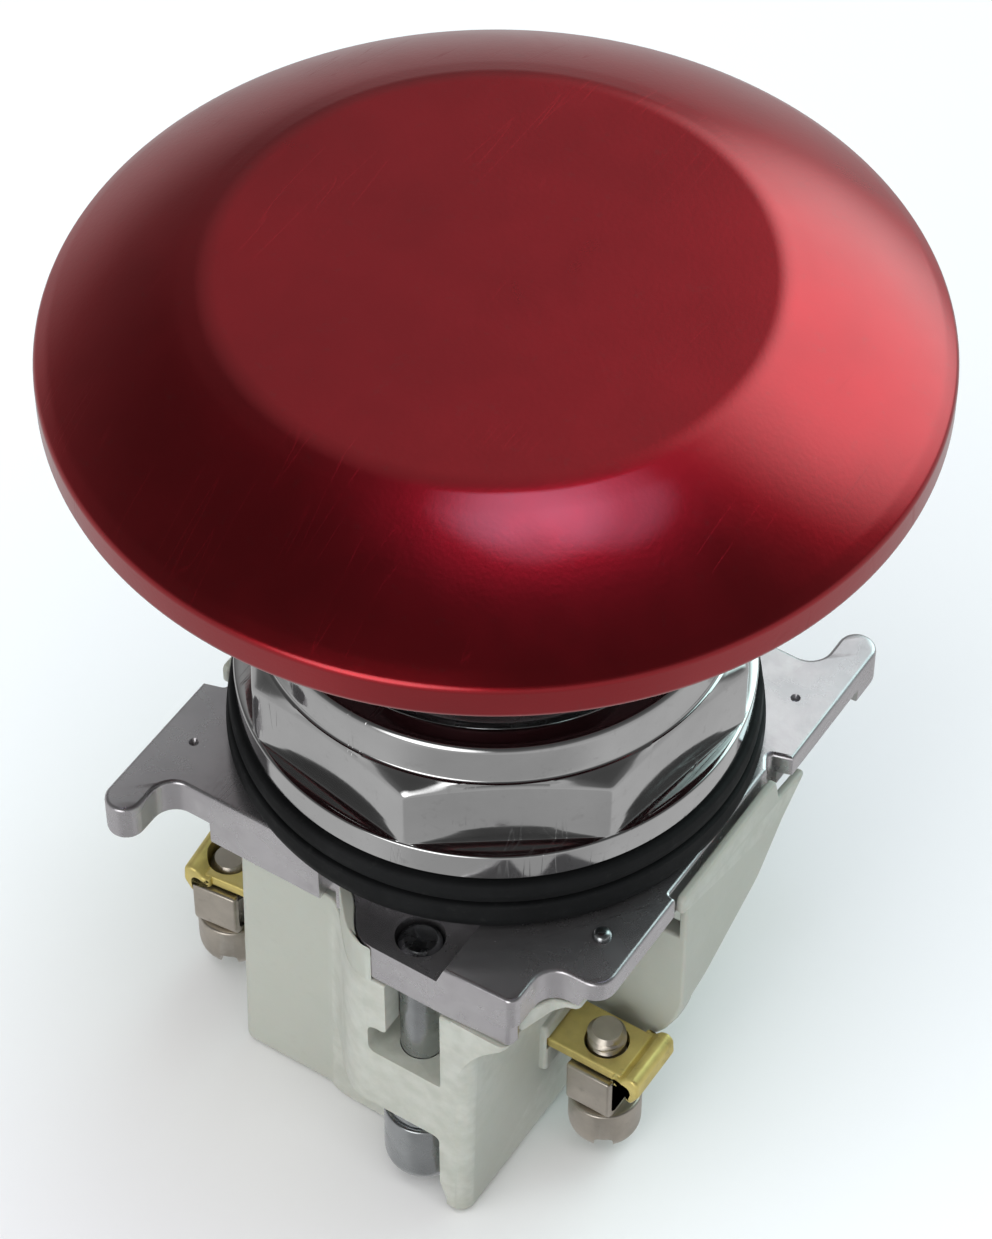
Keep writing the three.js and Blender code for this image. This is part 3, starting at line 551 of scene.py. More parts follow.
head = revolve("mushroom_head_turned", head_profile(), 256)
finished(head, RED, "head_red", "plunger", "mushroom_head", smooth=30)
# Faces under the head, hidden from the light, take the near-black copy of the red: painted
# shade.
head.data.materials.append(RED_PAINTED_SHADE_UNDERSIDE)
for face in head.data.polygons:
    if face.normal.z < 0.1 and math.hypot(*face.center.xy) < UNDERSIDE_RADIUS * MM:
        face.material_index = 1

# ---- retaining nut ------------------------------------------------------------------

NUT_TURN = -54.3
NUT_STEP = 45
NUT_FLATS = 18.5
NUT_LOW = 4.1
NUT_SHOULDER = 13.55
NUT_CHAMFER = 0.45
NUT_EDGE = 0.2
NUT_FILLET = 0.12
FLANGE_RADIUS = 20.05
FLANGE_TOP = 7.0
COLLAR_RADIUS = 18.3
NUT_BORE = 15.2
THREAD_DEPTH = 0.55
THREAD_PITCH = 1.41
THREAD_STEP = 0.235


def soft_min(a, b, blend):
    """The smaller of two values, blended where they are close."""
    return (a + b - math.sqrt((a - b) ** 2 + blend ** 2)) / 2


def nut_column(angle):
    """Radius and height down the outside and up the threaded bore at one angle."""
    half = NUT_STEP / 2
    offset = (math.degrees(angle) - NUT_TURN + half) % NUT_STEP - half
    near = NUT_FLATS / math.cos(math.radians(offset))
    far = NUT_FLATS / math.cos(math.radians(NUT_STEP - abs(offset)))
    flat = soft_min(near, far, 0.12)
    flat = soft_min(flat, FLANGE_RADIUS - 0.02, 0.08)
    column = [(r, NUT_LOW) for r in (16.2, 18.0, 19.2)]
    column += arc(FLANGE_RADIUS - 0.45, NUT_LOW + 0.45, 0.45, -90, 0, 4)
    column += arc(FLANGE_RADIUS - 0.25, FLANGE_TOP - 0.25, 0.25, 0, 70, 4)
    lip = column[-1][0]
    foot = min(flat + NUT_FILLET, lip - 0.01)
    column += [((lip + foot) / 2, FLANGE_TOP + 0.02), (foot, FLANGE_TOP + 0.03)]
    for share in (0.0, 0.25, 0.6, 1.0):
        bend = share * math.pi / 2
        column.append((min(flat + NUT_FILLET - math.sin(bend) * NUT_FILLET, lip - 0.012),
                       FLANGE_TOP + 0.04 + (1 - math.cos(bend)) * NUT_FILLET))
    column += [(flat, z) for z in (8.4, 10.0, 11.6)]
    top = NUT_SHOULDER - 0.13 - NUT_CHAMFER * max(0.0, flat - NUT_FLATS)
    edge = flat - NUT_EDGE
    column += [(flat, top - 0.75), (flat - 0.015, top - 0.5), (flat - 0.07, top - 0.3),
               (edge, top - 0.1)]
    inner = COLLAR_RADIUS + 0.3
    for share in (0.35, 0.7, 1.0):
        r = min(edge, edge + (inner - edge) * share)
        column.append((max(r, COLLAR_RADIUS + 0.02), top + (NUT_SHOULDER - top) * share))
    column += arc(COLLAR_RADIUS + 0.25, NUT_SHOULDER + 0.3, 0.25, -90, -180, 3)
    column += [(COLLAR_RADIUS, 14.6), (COLLAR_RADIUS, 15.6)]
    column += arc(COLLAR_RADIUS - 0.7, 16.6, 0.7, 0, 90, 6)
    column += [(17.0, 17.3)]
    column += arc(16.4, 17.05, 0.25, 90, 140, 3)
    turns = (angle / (2 * math.pi)) % 1.0
    z = 16.3
    while z > 4.45:
        phase = ((z / THREAD_PITCH) - turns) % 1.0
        column.append((NUT_BORE + THREAD_DEPTH * abs(2 * phase - 1), z))
        z -= THREAD_STEP
    column.append((NUT_BORE + 0.6, NUT_LOW + 0.02))
    return column


def make_nut(segments=480):
    columns = [nut_column(2 * math.pi * j / segments) for j in range(segments)]
    return turned("retaining_nut_chromed", columns)


finished(make_nut(), CHROME, "nut_chrome", "operator", "retaining_nut", smooth=32)

# ---- gasket and washer --------------------------------------------------------------

RING_BORE = 15.3
GASKET_LOW = 2.0
GASKET_TOP = 4.0
WASHER_LOW = 0.1
WASHER_TOP = 1.9

gasket_profile = rounded(
    [(RING_BORE, GASKET_LOW), (20.45, GASKET_LOW), (20.6, 2.9), (20.45, GASKET_TOP),
     (RING_BORE, GASKET_TOP)],
    (0.1, 0.35, 1.2, 0.4, 0.1), 5)
finished(revolve("panel_gasket_moulded", gasket_profile, 192), RUBBER, "rubber_black",
         "operator", "panel_gasket")
washer_profile = rounded(
    [(RING_BORE, WASHER_LOW), (18.5, WASHER_LOW), (18.7, -0.8), (20.5, -0.8), (20.9, 0.4),
     (20.75, WASHER_TOP), (RING_BORE, WASHER_TOP)],
    (0.1, 0.2, 0.3, 0.5, 1.2, 0.3, 0.1), 5)
finished(revolve("thrust_washer_moulded", washer_profile, 192), RUBBER, "rubber_black",
         "operator", "thrust_washer")

# ---- die-cast housing ---------------------------------------------------------------

PLATE_TOP = -1.4
PLATE_LOW = -4.9
PAD_TOP = -3.2
EDGE_LOW = -3.4
SKIRT_LOW = -7.1
POCKET_TOP = -3.6
SEAT_RADIUS = 18.2
NECK_RADIUS = 15.0
NECK_BORE = 11.5
NECK_TOP = 16.5
SHAFT_HOLE = 4.3
SCREW_AT = (5.9, -19.5)
SCREW_HOLE = 1.95
PIN_AT = (18.0, -13.2)
PIN_RADIUS = 0.72
DIMPLE_AT = (18.4, 14.6)
EAR_X = 21.35
EDGE_X = 20.85
TAB_X = 20.2
TAB_Y = 7.2
LOBE_Y = -22.35
LOBE_START = (-1.5, -18.4)


def half_turn(points):
    """The whole outline, from one half of a shape that repeats after half a turn."""
    return list(points) + [(-x, -y) for x, y in points]


def lobe_line():
    """The curve from the housing's front face out to the end of the screw lobe."""
    return [LOBE_START, *bezier(LOBE_START, (0.5, -18.6), (0.6, LOBE_Y), (3.4, LOBE_Y), 9)]


def plate_outline():
    """The plate with its hooked left ear, notch, screw lobe and wavy right side."""
    hook = arc(-19.8, -21.75, 1.55, 180, 360, 14)
    notch = arc(-16.35, -20.3, 1.9, 180, 90, 9)
    wave = rounded(
        [(3.6, LOBE_Y), (9.8, LOBE_Y), (16.0, -22.1), (16.0, -17.6), (EDGE_X, -17.5),
         (EDGE_X, -TAB_Y), (TAB_X, -TAB_Y), (TAB_X, TAB_Y), (19.4, 8.6), (EAR_X, 9.2)],
        (0, 0.6, 0.9, 1.8, 1.7, 0.42, 0.2, 0.42, 0.4, 0), 6, closed=False)
    return half_turn([(-EAR_X, -9.2), *hook, *notch, *lobe_line(), *wave[:-1]])


def skirt_outline():
    """The walls that hang below the plate."""
    corner = rounded([(3.6, LOBE_Y), (9.8, LOBE_Y), (15.5, -22.12), (15.8, -20.8),
                      (10.2, -20.6), (10.2, -12.0)], (0, 0.6, 0.6, 0.4, 0.4, 0), 5,
                     closed=False)
    return half_turn([(-TAB_X, -TAB_Y), (-14.4, -13.0), (-14.4, LOBE_START[1]), *lobe_line(),
                      *corner])


def thread(depth, pitch, low, high):
    """A radius change that follows a helix between two heights."""
    def shape(angle, r, z):
        if not low < z < high:
            return r, z
        phase = (z / pitch - angle / (2 * math.pi)) % 1.0
        return r - depth * (1 - abs(2 * phase - 1)), z
    return shape


def make_neck():
    heights = np.arange(15.7, 0.6, -0.2)
    outside = [(NECK_RADIUS, z) for z in heights]
    profile = [(NECK_BORE, NECK_TOP), (NECK_RADIUS - 0.9, NECK_TOP), (NECK_RADIUS - 0.3, 16.0)]
    profile += outside + [(NECK_RADIUS, -1.9), (NECK_BORE, -1.9)]
    return revolve("neck", profile, 160, thread(THREAD_DEPTH, THREAD_PITCH, 0.5, 15.8))


def make_housing():
    housing = slab("operator_housing_cast", plate_outline(), PLATE_LOW, PLATE_TOP, 0.25, 0.35)
    join(housing, slab("skirt", skirt_outline(), SKIRT_LOW, PLATE_TOP - 0.6, 0.15, 0.0))
    reliefs = [
        beam_y("pad", [(-2.6, PAD_TOP), (9.2, PAD_TOP), (9.9, PLATE_TOP + 0.1), (9.9, 1.0),
                       (-2.6, 1.0)], LOBE_Y - 1, -15.0),
        block_shape("edge", EDGE_X - 2.2, EDGE_X + 1, -19.0, -TAB_Y, PLATE_LOW - 1, EDGE_LOW),
        block_shape("ear_edge", TAB_X, EAR_X + 1, TAB_Y + 1, 19.5, PLATE_LOW - 1, EDGE_LOW),
        block_shape("gap", -4.2, -2.6, -19.4, -17.2, SKIRT_LOW - 1, PAD_TOP - 0.1),
    ]
    cut(housing, *reliefs, *[turn_half(relief) for relief in reliefs])
    join(housing, revolve("seat", [(0.0, PAD_TOP - 0.2), *rounded(
        [(SEAT_RADIUS + 0.05, PAD_TOP - 0.2), (SEAT_RADIUS, 0.0), (0.0, 0.0)],
        (0, 0.4, 0), 4, closed=False)], 160))
    cut(housing,
        round_bar("bore", 0, 0, SHAFT_HOLE, SKIRT_LOW, 1.0, 64),
        round_bar("neck_bore", 0, 0, NECK_BORE, PLATE_TOP, 1.0, 128),
        slab("pocket", rectangle(-12.4, 12.4, -16.4, 16.4, 2.0), SKIRT_LOW - 1, POCKET_TOP))
    join(housing, make_neck())
    soften(housing, 0.16, below=0.2)
    # The holes are cut last, because they are too small to be rounded with the rest.
    holes = [
        round_bar("hole", *SCREW_AT, SCREW_HOLE, SKIRT_LOW - 1, 1.0),
        round_bar("pin_hole", *PIN_AT, PIN_RADIUS + 0.02, SKIRT_LOW - 1, 1.0, 32),
        moved(revolve("dimple", [(0.0, -1.9), (0.2, -1.8), (0.45, -1.3), (0.45, 0.5),
                                 (0.0, 0.5)], 32), *DIMPLE_AT),
    ]
    return cut(housing, *holes, *[turn_half(hole) for hole in holes])


HOUSING = finished(make_housing(), CAST, "housing_cast", "operator", "operator_housing",
                   smooth=42)


def make_pin():
    profile = [(0.0, PLATE_LOW + 0.1), (PIN_RADIUS - 0.1, PLATE_LOW + 0.1),
               (PIN_RADIUS, PLATE_LOW + 0.3), (PIN_RADIUS, PLATE_TOP + 0.1)]
    profile += arc(0.2, PLATE_TOP + 0.1, PIN_RADIUS - 0.2, 0, 90, 6)
    profile += [(0.0, PLATE_TOP + PIN_RADIUS - 0.1)]
    return moved(revolve("locating_pin_front_pressed", profile, 48), *PIN_AT)


finished_pair(make_pin(), ZINC, "zinc_steel", "locating_pin")

# ---- contact block ------------------------------------------------------------------

BLOCK_X = -0.8
BLOCK_HALF = 12.4
BLOCK_TOP = -7.4
BLOCK_LOW = -33.2
BLOCK_SIDE = 17.6
BLOCK_LOBE = 22.45
BLOCK_LOBE_LEFT = -4.9
BLOCK_LOBE_RIGHT = 2.1
COLLAR_LOW = -9.0
COLLAR_HIGH = -3.45
COLLAR_FROM = 18.5
COLLAR_LEAN = 0.78
SHANK_WAY = 1.75
LEAN = 0.028
WING_INNER = 20.0
WING_OUTER = 21.3
WING_FRONT = -6.2
HEAD_SEAT = -23.7
WINDOW_FLOOR = -16.7
CONTACT_Y = -9.4
STRIP_TOP = -20.4
STRIP_THICK = 1.1
STRIP_INNER = 4.2
LEFT_TURN = 6
LEFT_OUT = 0.8
STRIP_REACH = {"right": 21.8, "left": 20.0}
SIDES = ("right", "left")


def nylon_lobe():
    """The curve from the block's front face out to the face under the screw lobe."""
    start = (BLOCK_LOBE_LEFT, -BLOCK_SIDE)
    return [start, *bezier(start, (-2.6, -BLOCK_SIDE), (-1.0, -BLOCK_LOBE), (1.9, -BLOCK_LOBE),
                           12)]


def block_outline(grow):
    """The block seen from above, with its sides moved out by a small distance."""
    low, high = BLOCK_X - BLOCK_HALF - grow, BLOCK_X + BLOCK_HALF + grow
    front = rounded([(low, 0.0), (low, -BLOCK_SIDE), (BLOCK_LOBE_LEFT, -BLOCK_SIDE)],
                    (0, 1.0, 0), 6, closed=False)[:-1]
    front += nylon_lobe()
    front += rounded([(BLOCK_LOBE_RIGHT, -BLOCK_LOBE), (high, -BLOCK_LOBE), (high, 0.0)],
                     (0, 1.3, 0), 8, closed=False)[:-1]
    return front + [(2 * BLOCK_X - x, -y) for x, y in front]


def make_collar():
    """The nylon lip that stands up round the left side of the screw lobe."""
    outer = [(x + COLLAR_LEAN, y + 0.02) for x, y in nylon_lobe() if y < -COLLAR_FROM]
    inner = [(x - 0.1, y - 0.04) for x, y in reversed(lobe_line())]
    collar = slab("collar", [*outer, *inner], COLLAR_LOW, COLLAR_HIGH, 0.0, 0.12)
    return cut(collar, *make_screw_ways())


def make_flare():
    """The block's upper corner, which flares out under the housing's wavy edge."""
    upper = slab("flare", rounded(
        [(10.5, -20.3), (15.2, -20.3), (15.9, -19.2), (16.7, -17.9), (18.6, -17.2),
         (18.6, -11.0), (10.5, -11.0)], (0, 0.4, 0.6, 0.8, 0.6, 0.5, 0), 5), -15.0,
        PLATE_LOW - 0.2, 0.0, 0.2)
    front = slab("flare_front", rounded([(10.5, -BLOCK_LOBE), (15.4, -BLOCK_LOBE),
                                         (15.4, -20.2), (10.5, -20.2)], (0, 0.8, 0, 0), 5),
                 -15.0, SKIRT_LOW - 0.12)
    slope = [(10.4, -16.0), *bezier((10.9, -14.6), (12.2, -9.6), (14.4, -8.2), (17.6, -5.7), 14),
             (21.0, -5.7), (21.0, -16.0)]
    return cut(join(upper, front), beam_y("slope", slope, -24.0, -10.0))


def place_side(item, side):
    """Stands a right-hand terminal shape on the right or, mirrored and turned, on the left."""
    if side == "right":
        return moved(item, BLOCK_X)
    turn = Matrix.Rotation(math.radians(LEFT_TURN), 4, "Z")
    hinge = Matrix.Translation(Vector((-STRIP_INNER, CONTACT_Y, 0)) * MM)
    mirror_x(item).data.transform(hinge @ turn @ hinge.inverted())
    return moved(item, BLOCK_X - LEFT_OUT)


def make_barrier(side):
    """The wing beside a terminal and the web that carries it."""
    wing = beam_x("wing", rounded(
        [(WING_FRONT, -3.6), (WING_FRONT, -16.7), (-2.7, -15.7), (4.9, -11.7), (8.3, -8.0),
         (11.4, -5.6), (11.4, -5.1), (7.6, -4.6), (6.9, -1.8), (-6.9, -1.8), (-6.9, -3.6)],
        (0.2, 0.8, 3.0, 5.0, 2.0, 0.2, 0.3, 0.6, 0.5, 0.5, 0.3), 5), 20.6, WING_OUTER, 0.25)
    body = beam_x("wing_body", rounded(
        [(WING_FRONT, -7.6), (WING_FRONT, -16.7), (-2.7, -15.7), (4.9, -11.7), (8.3, -8.0)],
        (0.2, 0.8, 3.0, 5.0, 0.5), 5), WING_INNER, WING_OUTER - 0.1, 0.2)
    web = beam_y("web", rounded(
        [(10.0, -7.6), (10.0, -23.2), (18.4, -22.4), (19.8, -20.4), (20.8, -18.2),
         (WING_OUTER, -16.4), (WING_OUTER, -7.6)],
        (0, 0, 2.0, 1.2, 1.2, 2.0, 0), 5), WING_FRONT, WING_FRONT + 1.6, 0.35)
    barrier = join(wing, body, web)
    return mirror_x(barrier) if side == "left" else barrier


def make_screw_ways():
    """What the mounting screws leave open: bore, window, recess and the step beside it."""
    x, y = SCREW_AT
    ways = [
        round_bar("shank_way", x, y, SHANK_WAY, BLOCK_LOW - 1, BLOCK_TOP + 1),
        beam_y("window", rounded([(9.5, WINDOW_FLOOR), (9.5, -4.0), (4.5, -4.0), (4.5, -13.4),
                                  (2.8, -13.4), (2.8, WINDOW_FLOOR)],
                                 (0.3, 0, 0, 0.4, 1.2, 0.7), 5), -26.0, y + 1.0),
        beam_y("recess", rounded([(2.3, BLOCK_LOW - 2), (10.0, BLOCK_LOW - 2), (9.9, -31.6),
                                  (9.3, -29.8), (9.3, HEAD_SEAT), (2.3, HEAD_SEAT)],
                                 (0, 0, 1.0, 1.4, 0.6, 0.6), 5), -26.0, y + 3.6),
        block_shape("underside", -4.6, 3.0, -26.0, -BLOCK_SIDE - 0.2, BLOCK_LOW - 1, HEAD_SEAT),
    ]
    return ways + [turn_half(way) for way in ways]


def make_block():
    base = slab("block_base_moulded", block_outline(0.1), BLOCK_LOW, BLOCK_TOP, 0.9, 0.2, 5)
    for vertex in base.data.vertices:
        vertex.co.x += LEAN * (vertex.co.z - BLOCK_LOW * MM)
    flare, collar = make_flare(), make_collar()
    bosses = [place_side(slab("boss", rectangle(BLOCK_HALF - 1, BLOCK_HALF + 1.0,
                                                CONTACT_Y - 2.8, CONTACT_Y + 2.8, 0.4),
                              -24.5, -18.8, 0.3, 0.3), side)
              for side in SIDES]
    join(base, make_barrier("right"), make_barrier("left"), flare, turn_half(flare), *bosses)
    strip_ways = [place_side(block_shape("strip_way", STRIP_INNER - 0.5, 17.4, CONTACT_Y - 2.6,
                                         CONTACT_Y + 2.6, STRIP_TOP - STRIP_THICK - 0.2,
                                         STRIP_TOP + 0.2), side) for side in SIDES]
    cut(base,
        block_shape("cover_seat", -11.6, 10.0, -15.6, 15.6, BLOCK_TOP - 1.5, 0.0),
        block_shape("bay", -11.0, 9.4, -14.6, -4.2, -31.8, 0.0),
        block_shape("well", BLOCK_X - 5.3, BLOCK_X + 5.3, -5.2, 13.0, -13.6, 0.0),
        *strip_ways, *make_screw_ways())
    # The collar joins last, because its ledge is too thin to be rounded with the rest.
    return join(soften(base, 0.22), collar, turn_half(collar))


finished(make_block(), NYLON, "nylon_pale", "operator", "block_base", smooth=42)


def make_cover():
    cover = slab("block_cover_moulded", rectangle(-11.4, 9.8, -15.4, 15.4, 0.5),
                 BLOCK_TOP - 1.4, BLOCK_TOP - 0.2, 0.1, 0.2)
    cut(cover, slab("slot", rectangle(BLOCK_X - 5.3, BLOCK_X + 5.3, -13.0, 13.0, 0.6),
                    BLOCK_TOP - 4, BLOCK_TOP + 1))
    return soften(cover, 0.12)


finished(make_cover(), NYLON, "nylon_pale", "operator", "block_cover", smooth=42)

# ---- terminals ----------------------------------------------------------------------

CLAMP_X = 17.3
CLAMP_HALF_X = 2.0
CLAMP_HALF_Y = 2.9
CLAMP_WALL = 0.8
CLAMP_LOW = -26.8
TERMINAL_RADIUS = 1.6
TERMINAL_HEAD = 2.95
TIP_RISE = {"right": 1.6, "left": 0.1}
SLOT_TURN = {"right": 120, "left": 72}
STRIP_LOW = STRIP_TOP - STRIP_THICK


def make_strip(side):
    """A brass strip whose end is rolled outwards and down over the wire."""
    reach = STRIP_REACH[side]
    strip = slab("terminal_strip_" + side + "_pressed",
                 rectangle(STRIP_INNER, reach - 1.7, CONTACT_Y - 2.4, CONTACT_Y + 2.4, 0.2),
                 STRIP_LOW, STRIP_TOP, 0.2, 0.2)
    roll = [(-2.4, 0.0), (-1.8, -0.25), (-1.2, 0.5), (-0.6, 0.75), (0.0, 0.3), (0.1, -1.2),
            (-0.6, -2.5), (-1.2, -2.2), (-0.9, -1.1), (-1.1, -0.6), (-1.7, -1.15),
            (-2.4, -STRIP_THICK)]
    join(strip, beam_y("roll", rounded(
        [(reach + x, STRIP_TOP + z) for x, z in roll],
        (0.1, 0.6, 0.5, 0.6, 0.7, 1.0, 0.3, 0.3, 0.6, 0.3, 0.6, 0.1), 5),
        CONTACT_Y - 2.8, CONTACT_Y + 2.8, 0.3))
    cut(strip, round_bar("hole", CLAMP_X, CONTACT_Y, TERMINAL_RADIUS + 0.2, STRIP_LOW - 1,
                         STRIP_TOP + 1))
    return place_side(strip, side)


def make_clamp(side):
    """A bent plate that closes under the strip, open at its top."""
    front, back = CONTACT_Y - CLAMP_HALF_Y, CONTACT_Y + CLAMP_HALF_Y
    top = STRIP_LOW - 0.3
    profile = [(front, top), (front, CLAMP_LOW), (back, CLAMP_LOW), (back, top),
               (back - CLAMP_WALL, top), (back - CLAMP_WALL, CLAMP_LOW + CLAMP_WALL),
               (front + CLAMP_WALL, CLAMP_LOW + CLAMP_WALL), (front + CLAMP_WALL, top)]
    clamp = beam_x("clamp_" + side + "_pressed",
                   rounded(profile, (0.25, 1.1, 1.1, 0.25, 0.25, 0.5, 0.5, 0.25), 6),
                   CLAMP_X - CLAMP_HALF_X, CLAMP_X + CLAMP_HALF_X, 0.25)
    cut(clamp, round_bar("hole", CLAMP_X, CONTACT_Y, TERMINAL_RADIUS + 0.2, CLAMP_LOW - 1,
                         top))
    return place_side(clamp, side)


def screw_profile(shank, head_radius, top, under, bottom, edge, point=0.4):
    """Half section of a screw, tip up; under is where its head starts, edge its rounding."""
    profile = [(0.0, top), (shank - point, top), (shank, top - point)]
    profile += [(shank, z) for z in np.arange(top - point - 0.2, under, -0.2)]
    profile += [(shank, under)]
    profile += arc(head_radius - 0.25, under - 0.25, 0.25, 90, 0, 4)
    profile += arc(head_radius - edge, bottom + edge, edge, 0, -90, 10)
    return profile + [(0.0, bottom)]


def make_terminal_screw(side):
    """A clamp screw through the strip, with its slotted head below the clamp."""
    head = CLAMP_LOW - 0.1
    top = STRIP_TOP + TIP_RISE[side]
    profile = screw_profile(TERMINAL_RADIUS, TERMINAL_HEAD, top, head, head - 5.2, 2.0)
    screw = revolve("terminal_screw_" + side + "_turned", profile, 72,
                    thread(0.28, 0.7, head + 0.8, top - 0.3))
    slot = slab("slot", rectangle(-4.0, 4.0, -0.75, 0.75), head - 7.0, head - 3.1, 0, 0.4)
    slot.data.transform(Matrix.Rotation(math.radians(SLOT_TURN[side]), 4, "Z"))
    cut(screw, slot)
    return place_side(moved(soften(screw, 0.15, angle=50, below=head - 0.6), CLAMP_X, CONTACT_Y),
                      side)


for side in SIDES:
    finished(make_strip(side), BRASS, "brass_strip", "operator", "terminal_strip_" + side)
    finished(make_clamp(side), NICKEL, "nickel", "operator", "clamp_" + side)
    finished(make_terminal_screw(side), NICKEL, "nickel", "operator", "terminal_screw_" + side)

# ---- long mounting screws -----------------------------------------------------------

MOUNT_SHANK = 1.7
MOUNT_HEAD = 3.2
MOUNT_UNDER = HEAD_SEAT - 1.0
MOUNT_LOW = -32.0
MOUNT_SLOT_TURN = -57


def make_mounting_screw():
    profile = screw_profile(MOUNT_SHANK, MOUNT_HEAD, PAD_TOP - 0.3, MOUNT_UNDER, MOUNT_LOW, 1.7)
    screw = revolve("mounting_screw_front_turned", profile, 96,
                    thread(0.3, 0.8, -6.5, PAD_TOP - 0.7))
    slot = slab("slot", rectangle(-0.6, 0.6, -4.0, 4.0), MOUNT_LOW - 1, MOUNT_LOW + 1.1)
    slot.data.transform(Matrix.Rotation(math.radians(MOUNT_SLOT_TURN), 4, "Z"))
    cut(screw, slot)
    return moved(screw, *SCREW_AT)


def make_lock_washer():
    ring = revolve("lock_washer_front_split", rounded(
        [(1.9, HEAD_SEAT - 0.9), (2.9, HEAD_SEAT - 0.9), (2.9, HEAD_SEAT - 0.1),
         (1.9, HEAD_SEAT - 0.1)], 0.15, 3), 96)
    cut(ring, slab("split", rectangle(-4.0, -1.0, -0.25, 0.25), HEAD_SEAT - 2, HEAD_SEAT + 1))
    return moved(ring, *SCREW_AT)


mounting_screw, lock_washer = make_mounting_screw(), make_lock_washer()
finished_pair(mounting_screw, ZINC, "zinc_steel", "mounting_screw")
finished_pair(lock_washer, ZINC, "zinc_steel", "lock_washer")

# ---- springs ------------------------------------------------------------------------

END_TURN_EASE = 0.055


def make_coil(name, radius, wire, low, high, turns, steps=32, sides=12, x=0.0, y=0.0):
    """A round wire wound into a spring whose end turns lie almost flat."""
    vertices, faces = [], []
    count = turns * steps
    for i in range(count + 1):
        share = i / count
        eased = share - END_TURN_EASE * math.sin(4 * math.pi * share)
        angle = 2 * math.pi * i / steps
        z = low + wire + (high - low - 2 * wire) * eased
        for k in range(sides):
            turn = 2 * math.pi * k / sides
            r = radius + wire * math.cos(turn)
            vertices.append((x + r * math.cos(angle), y + r * math.sin(angle),
                             z + wire * math.sin(turn)))
    for i in range(count):
        for k in range(sides):
            a, b = i * sides + k, i * sides + (k + 1) % sides
            faces.append((a, b, b + sides, a + sides))
    faces.append(tuple(range(sides)))
    faces.append(tuple(range(count * sides, (count + 1) * sides)))
    return object_from(name, vertices, faces)


return_spring = make_coil("return_spring_wound", 5.9, 0.55, -1.3, 8.0, 4)
finished(return_spring, SPRING, "spring_steel", "operator", "return_spring")
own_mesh(return_spring)
contact_spring = make_coil("contact_spring_wound", 2.1, 0.25, -31.7, -24.1, 5, x=BLOCK_X,
                           y=CONTACT_Y)
finished(contact_spring, SPRING, "spring_steel", "operator", "contact_spring")
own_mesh(contact_spring)

# ---- carried-over CAD nodes ---------------------------------------------------------

CARRIED = {
    "head_set_screw": ZINC,
    "plunger_shaft": ZINC,
    "shaft_wiper_seal": RUBBER,
    "guide_bushing": BLACK_NYLON,
    "spring_retainer": ZINC,
    "actuator_bar": BLACK_NYLON,
    "shaft_clip": SPRING,
    "contact_carrier": BLACK_NYLON,
    "contact_bridge": BRASS,
    "fixed_tip_right": SILVER,
    "fixed_tip_left": SILVER,
    "moving_tip_right": SILVER,
    "moving_tip_left": SILVER,
}
for name, material in CARRIED.items():
    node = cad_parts[name]
    node.data.materials.clear()
    node.data.materials.append(material)

# ---- floor, light and camera --------------------------------------------------------

FLOOR_Z = -0.0334
FLOOR_HALF = 3.0
LIGHTS_AIM = (0, 0, 0.01)


def make_floor():
    mesh = bpy.data.meshes.new("floor")
    corners = rectangle(-FLOOR_HALF, FLOOR_HALF, -FLOOR_HALF, FLOOR_HALF)
    mesh.from_pydata([(x, y, FLOOR_Z) for x, y in corners], [], [(0, 1, 2, 3)])
    floor = bpy.data.objects.new("floor", mesh)
    SCENE.collection.objects.link(floor)
    material, tree, shader = node_tree("floor_paper")
    place = tree.nodes.new("ShaderNodeTexCoord").outputs["Object"]
    tone = blend_colours(tree, noise(tree, place, 3.0), (0.86, 0.86, 0.86), (0.9, 0.9, 0.9))
    tree.links.new(tone, shader.inputs["Base Color"])
    shader.inputs["Roughness"].default_value = 0.9
    shader.inputs["Specular IOR Level"].default_value = 0.0
    mesh.materials.append(material)
    floor.visible_glossy = False


def area_light(name, direction, distance, size, radiance, glossy=True, diffuse=True):
    """A square panel in a direction from the part, facing it."""
    light = bpy.data.lights.new(name, "AREA")
    light.shape = "SQUARE"
    light.size = size
    light.energy = radiance * math.pi * size * size
    item = bpy.data.objects.new(name, light)
    SCENE.collection.objects.link(item)
    toward = Vector(direction).normalized()
    item.location = Vector(LIGHTS_AIM) + toward * distance
    item.rotation_euler = toward.to_track_quat("Z", "Y").to_euler()
    item.visible_glossy = glossy
    item.visible_diffuse = diffuse
    return item


def glint_on(receiver):
    """A small panel that only shines in the gloss of one piece."""
    panel = area_light("ear_glint", (-0.165, 0.674, 0.722), 0.155, 0.05, 0.8, diffuse=False)
    receivers = bpy.data.collections.new("glint_receivers")
    receivers.objects.link(receiver)
    panel.light_linking.receiver_collection = receivers


# The grey of the studio at heights from straight below, 0, to straight above, 1.
HEIGHT_STOPS = [(0.0, 0.50), (0.2, 0.52), (0.5, 0.42), (0.62, 0.15), (0.8, 0.08), (1.0, 0.06)]
# Direction, cosines of the outer and inner edge, and light added; a negative one is a dark card.
SOFT_BOXES = [
    ((0.20, 0.855, 0.48), 0.80, 0.96, (1.65, 2.2, 2.15)),
    ((-0.357, 0.55, 0.755), 0.80, 1.0, (0.23, 0.23, 0.23)),
    ((0.12, -0.97, 0.20), 0.90, 0.99, (2.2, 2.2, 2.2)),
    ((0.36, -0.55, -0.755), 0.82, 0.96, (-0.14, -0.14, -0.14)),
    ((-0.02, 0.04, 1.0), 0.985, 0.998, (1.0, 1.0, 1.5)),
    ((0.07, 0.06, 1.0), 0.978, 0.998, (1.6, 1.6, 2.4)),
    ((0.19, 0.17, 1.0), 0.982, 0.998, (1.1, 1.1, 1.7)),
]


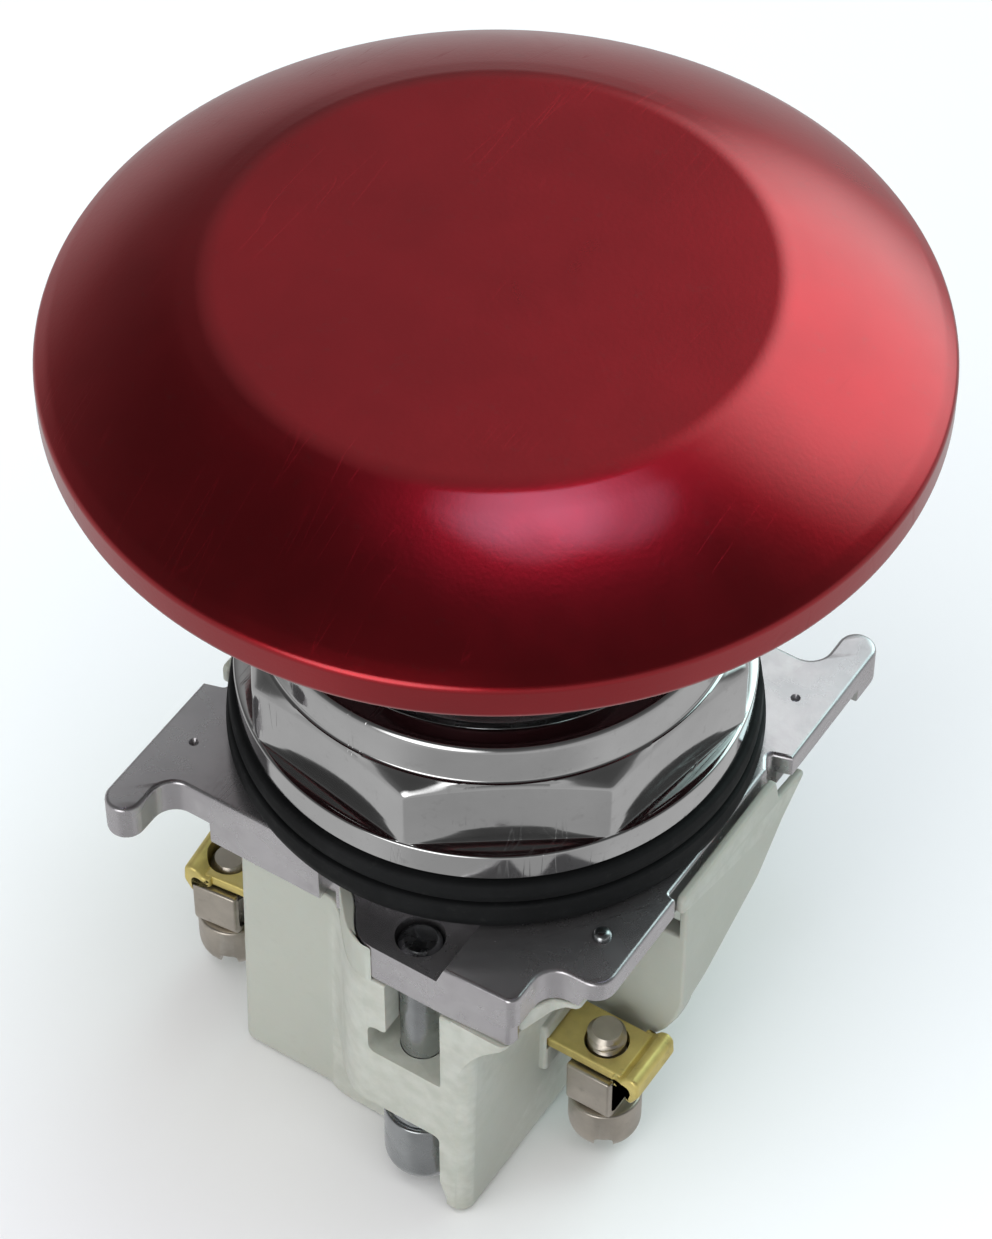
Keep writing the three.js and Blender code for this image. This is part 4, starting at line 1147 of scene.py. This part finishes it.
def soft_box(tree, direction, toward, edge, core, tint):
    """Light that fades in between two cosines from a direction."""
    dot = tree.nodes.new("ShaderNodeVectorMath")
    dot.operation = "DOT_PRODUCT"
    tree.links.new(direction, dot.inputs[0])
    dot.inputs[1].default_value = Vector(toward).normalized()
    fade = tree.nodes.new("ShaderNodeMapRange")
    fade.interpolation_type = "SMOOTHSTEP"
    fade.inputs["From Min"].default_value = edge
    fade.inputs["From Max"].default_value = core
    tree.links.new(dot.outputs["Value"], fade.inputs["Value"])
    glow = tree.nodes.new("ShaderNodeVectorMath")
    glow.operation = "SCALE"
    glow.inputs[0].default_value = tint
    tree.links.new(fade.outputs["Result"], glow.inputs["Scale"])
    return glow.outputs["Vector"]


def make_world():
    """A grey studio with soft boxes and dark cards, seen only by direction."""
    world = bpy.data.worlds.new("studio")
    SCENE.world = world
    world.use_nodes = True
    tree = world.node_tree
    background = tree.nodes["Background"]
    direction = tree.nodes.new("ShaderNodeTexCoord").outputs["Generated"]
    split = tree.nodes.new("ShaderNodeSeparateXYZ")
    tree.links.new(direction, split.inputs["Vector"])
    ramp = tree.nodes.new("ShaderNodeValToRGB")
    elements = ramp.color_ramp.elements
    while len(elements) < len(HEIGHT_STOPS):
        elements.new(0.5)
    for element, (place, value) in zip(elements, HEIGHT_STOPS):
        element.position = place
        element.color = (value, value, value, 1)
    tree.links.new(remap(tree, split.outputs["Z"], -1.0, 1.0, 0.0, 1.0), ramp.inputs["Fac"])
    light = ramp.outputs["Color"]
    for toward, edge, core, tint in SOFT_BOXES:
        add = tree.nodes.new("ShaderNodeVectorMath")
        tree.links.new(light, add.inputs[0])
        tree.links.new(soft_box(tree, direction, toward, edge, core, tint), add.inputs[1])
        light = add.outputs["Vector"]
    tree.links.new(light, background.inputs["Color"])
    background.inputs["Strength"].default_value = 1.0


make_floor()
make_world()
glint_on(HOUSING)
area_light("overhead_fill", (0.1, -0.1, 1.0), 1.6, 1.6, 2.6, glossy=False)
area_light("left_fill", (-0.35, -0.8, 0.5), 1.0, 0.9, 1.5, glossy=False)
area_light("right_fill", (0.9, -0.4, 0.35), 1.0, 0.9, 0.5, glossy=False)

CAMERA_AT = (0.1149, -0.1769, 0.2537)
AIM = (0.0, 0.0, 0.0105)
LENS = 123.72

camera_data = bpy.data.cameras.new("camera")
camera_data.lens = LENS
camera_data.sensor_width = 36.0
camera_data.sensor_fit = "AUTO"
camera_data.clip_start = 0.01
camera = bpy.data.objects.new("camera", camera_data)
SCENE.collection.objects.link(camera)
camera.location = CAMERA_AT
camera.rotation_euler = (Vector(AIM) - Vector(CAMERA_AT)).to_track_quat("-Z", "Y").to_euler()
SCENE.camera = camera
SCENE.view_settings.view_transform = "Standard"
SCENE.view_settings.look = "None"
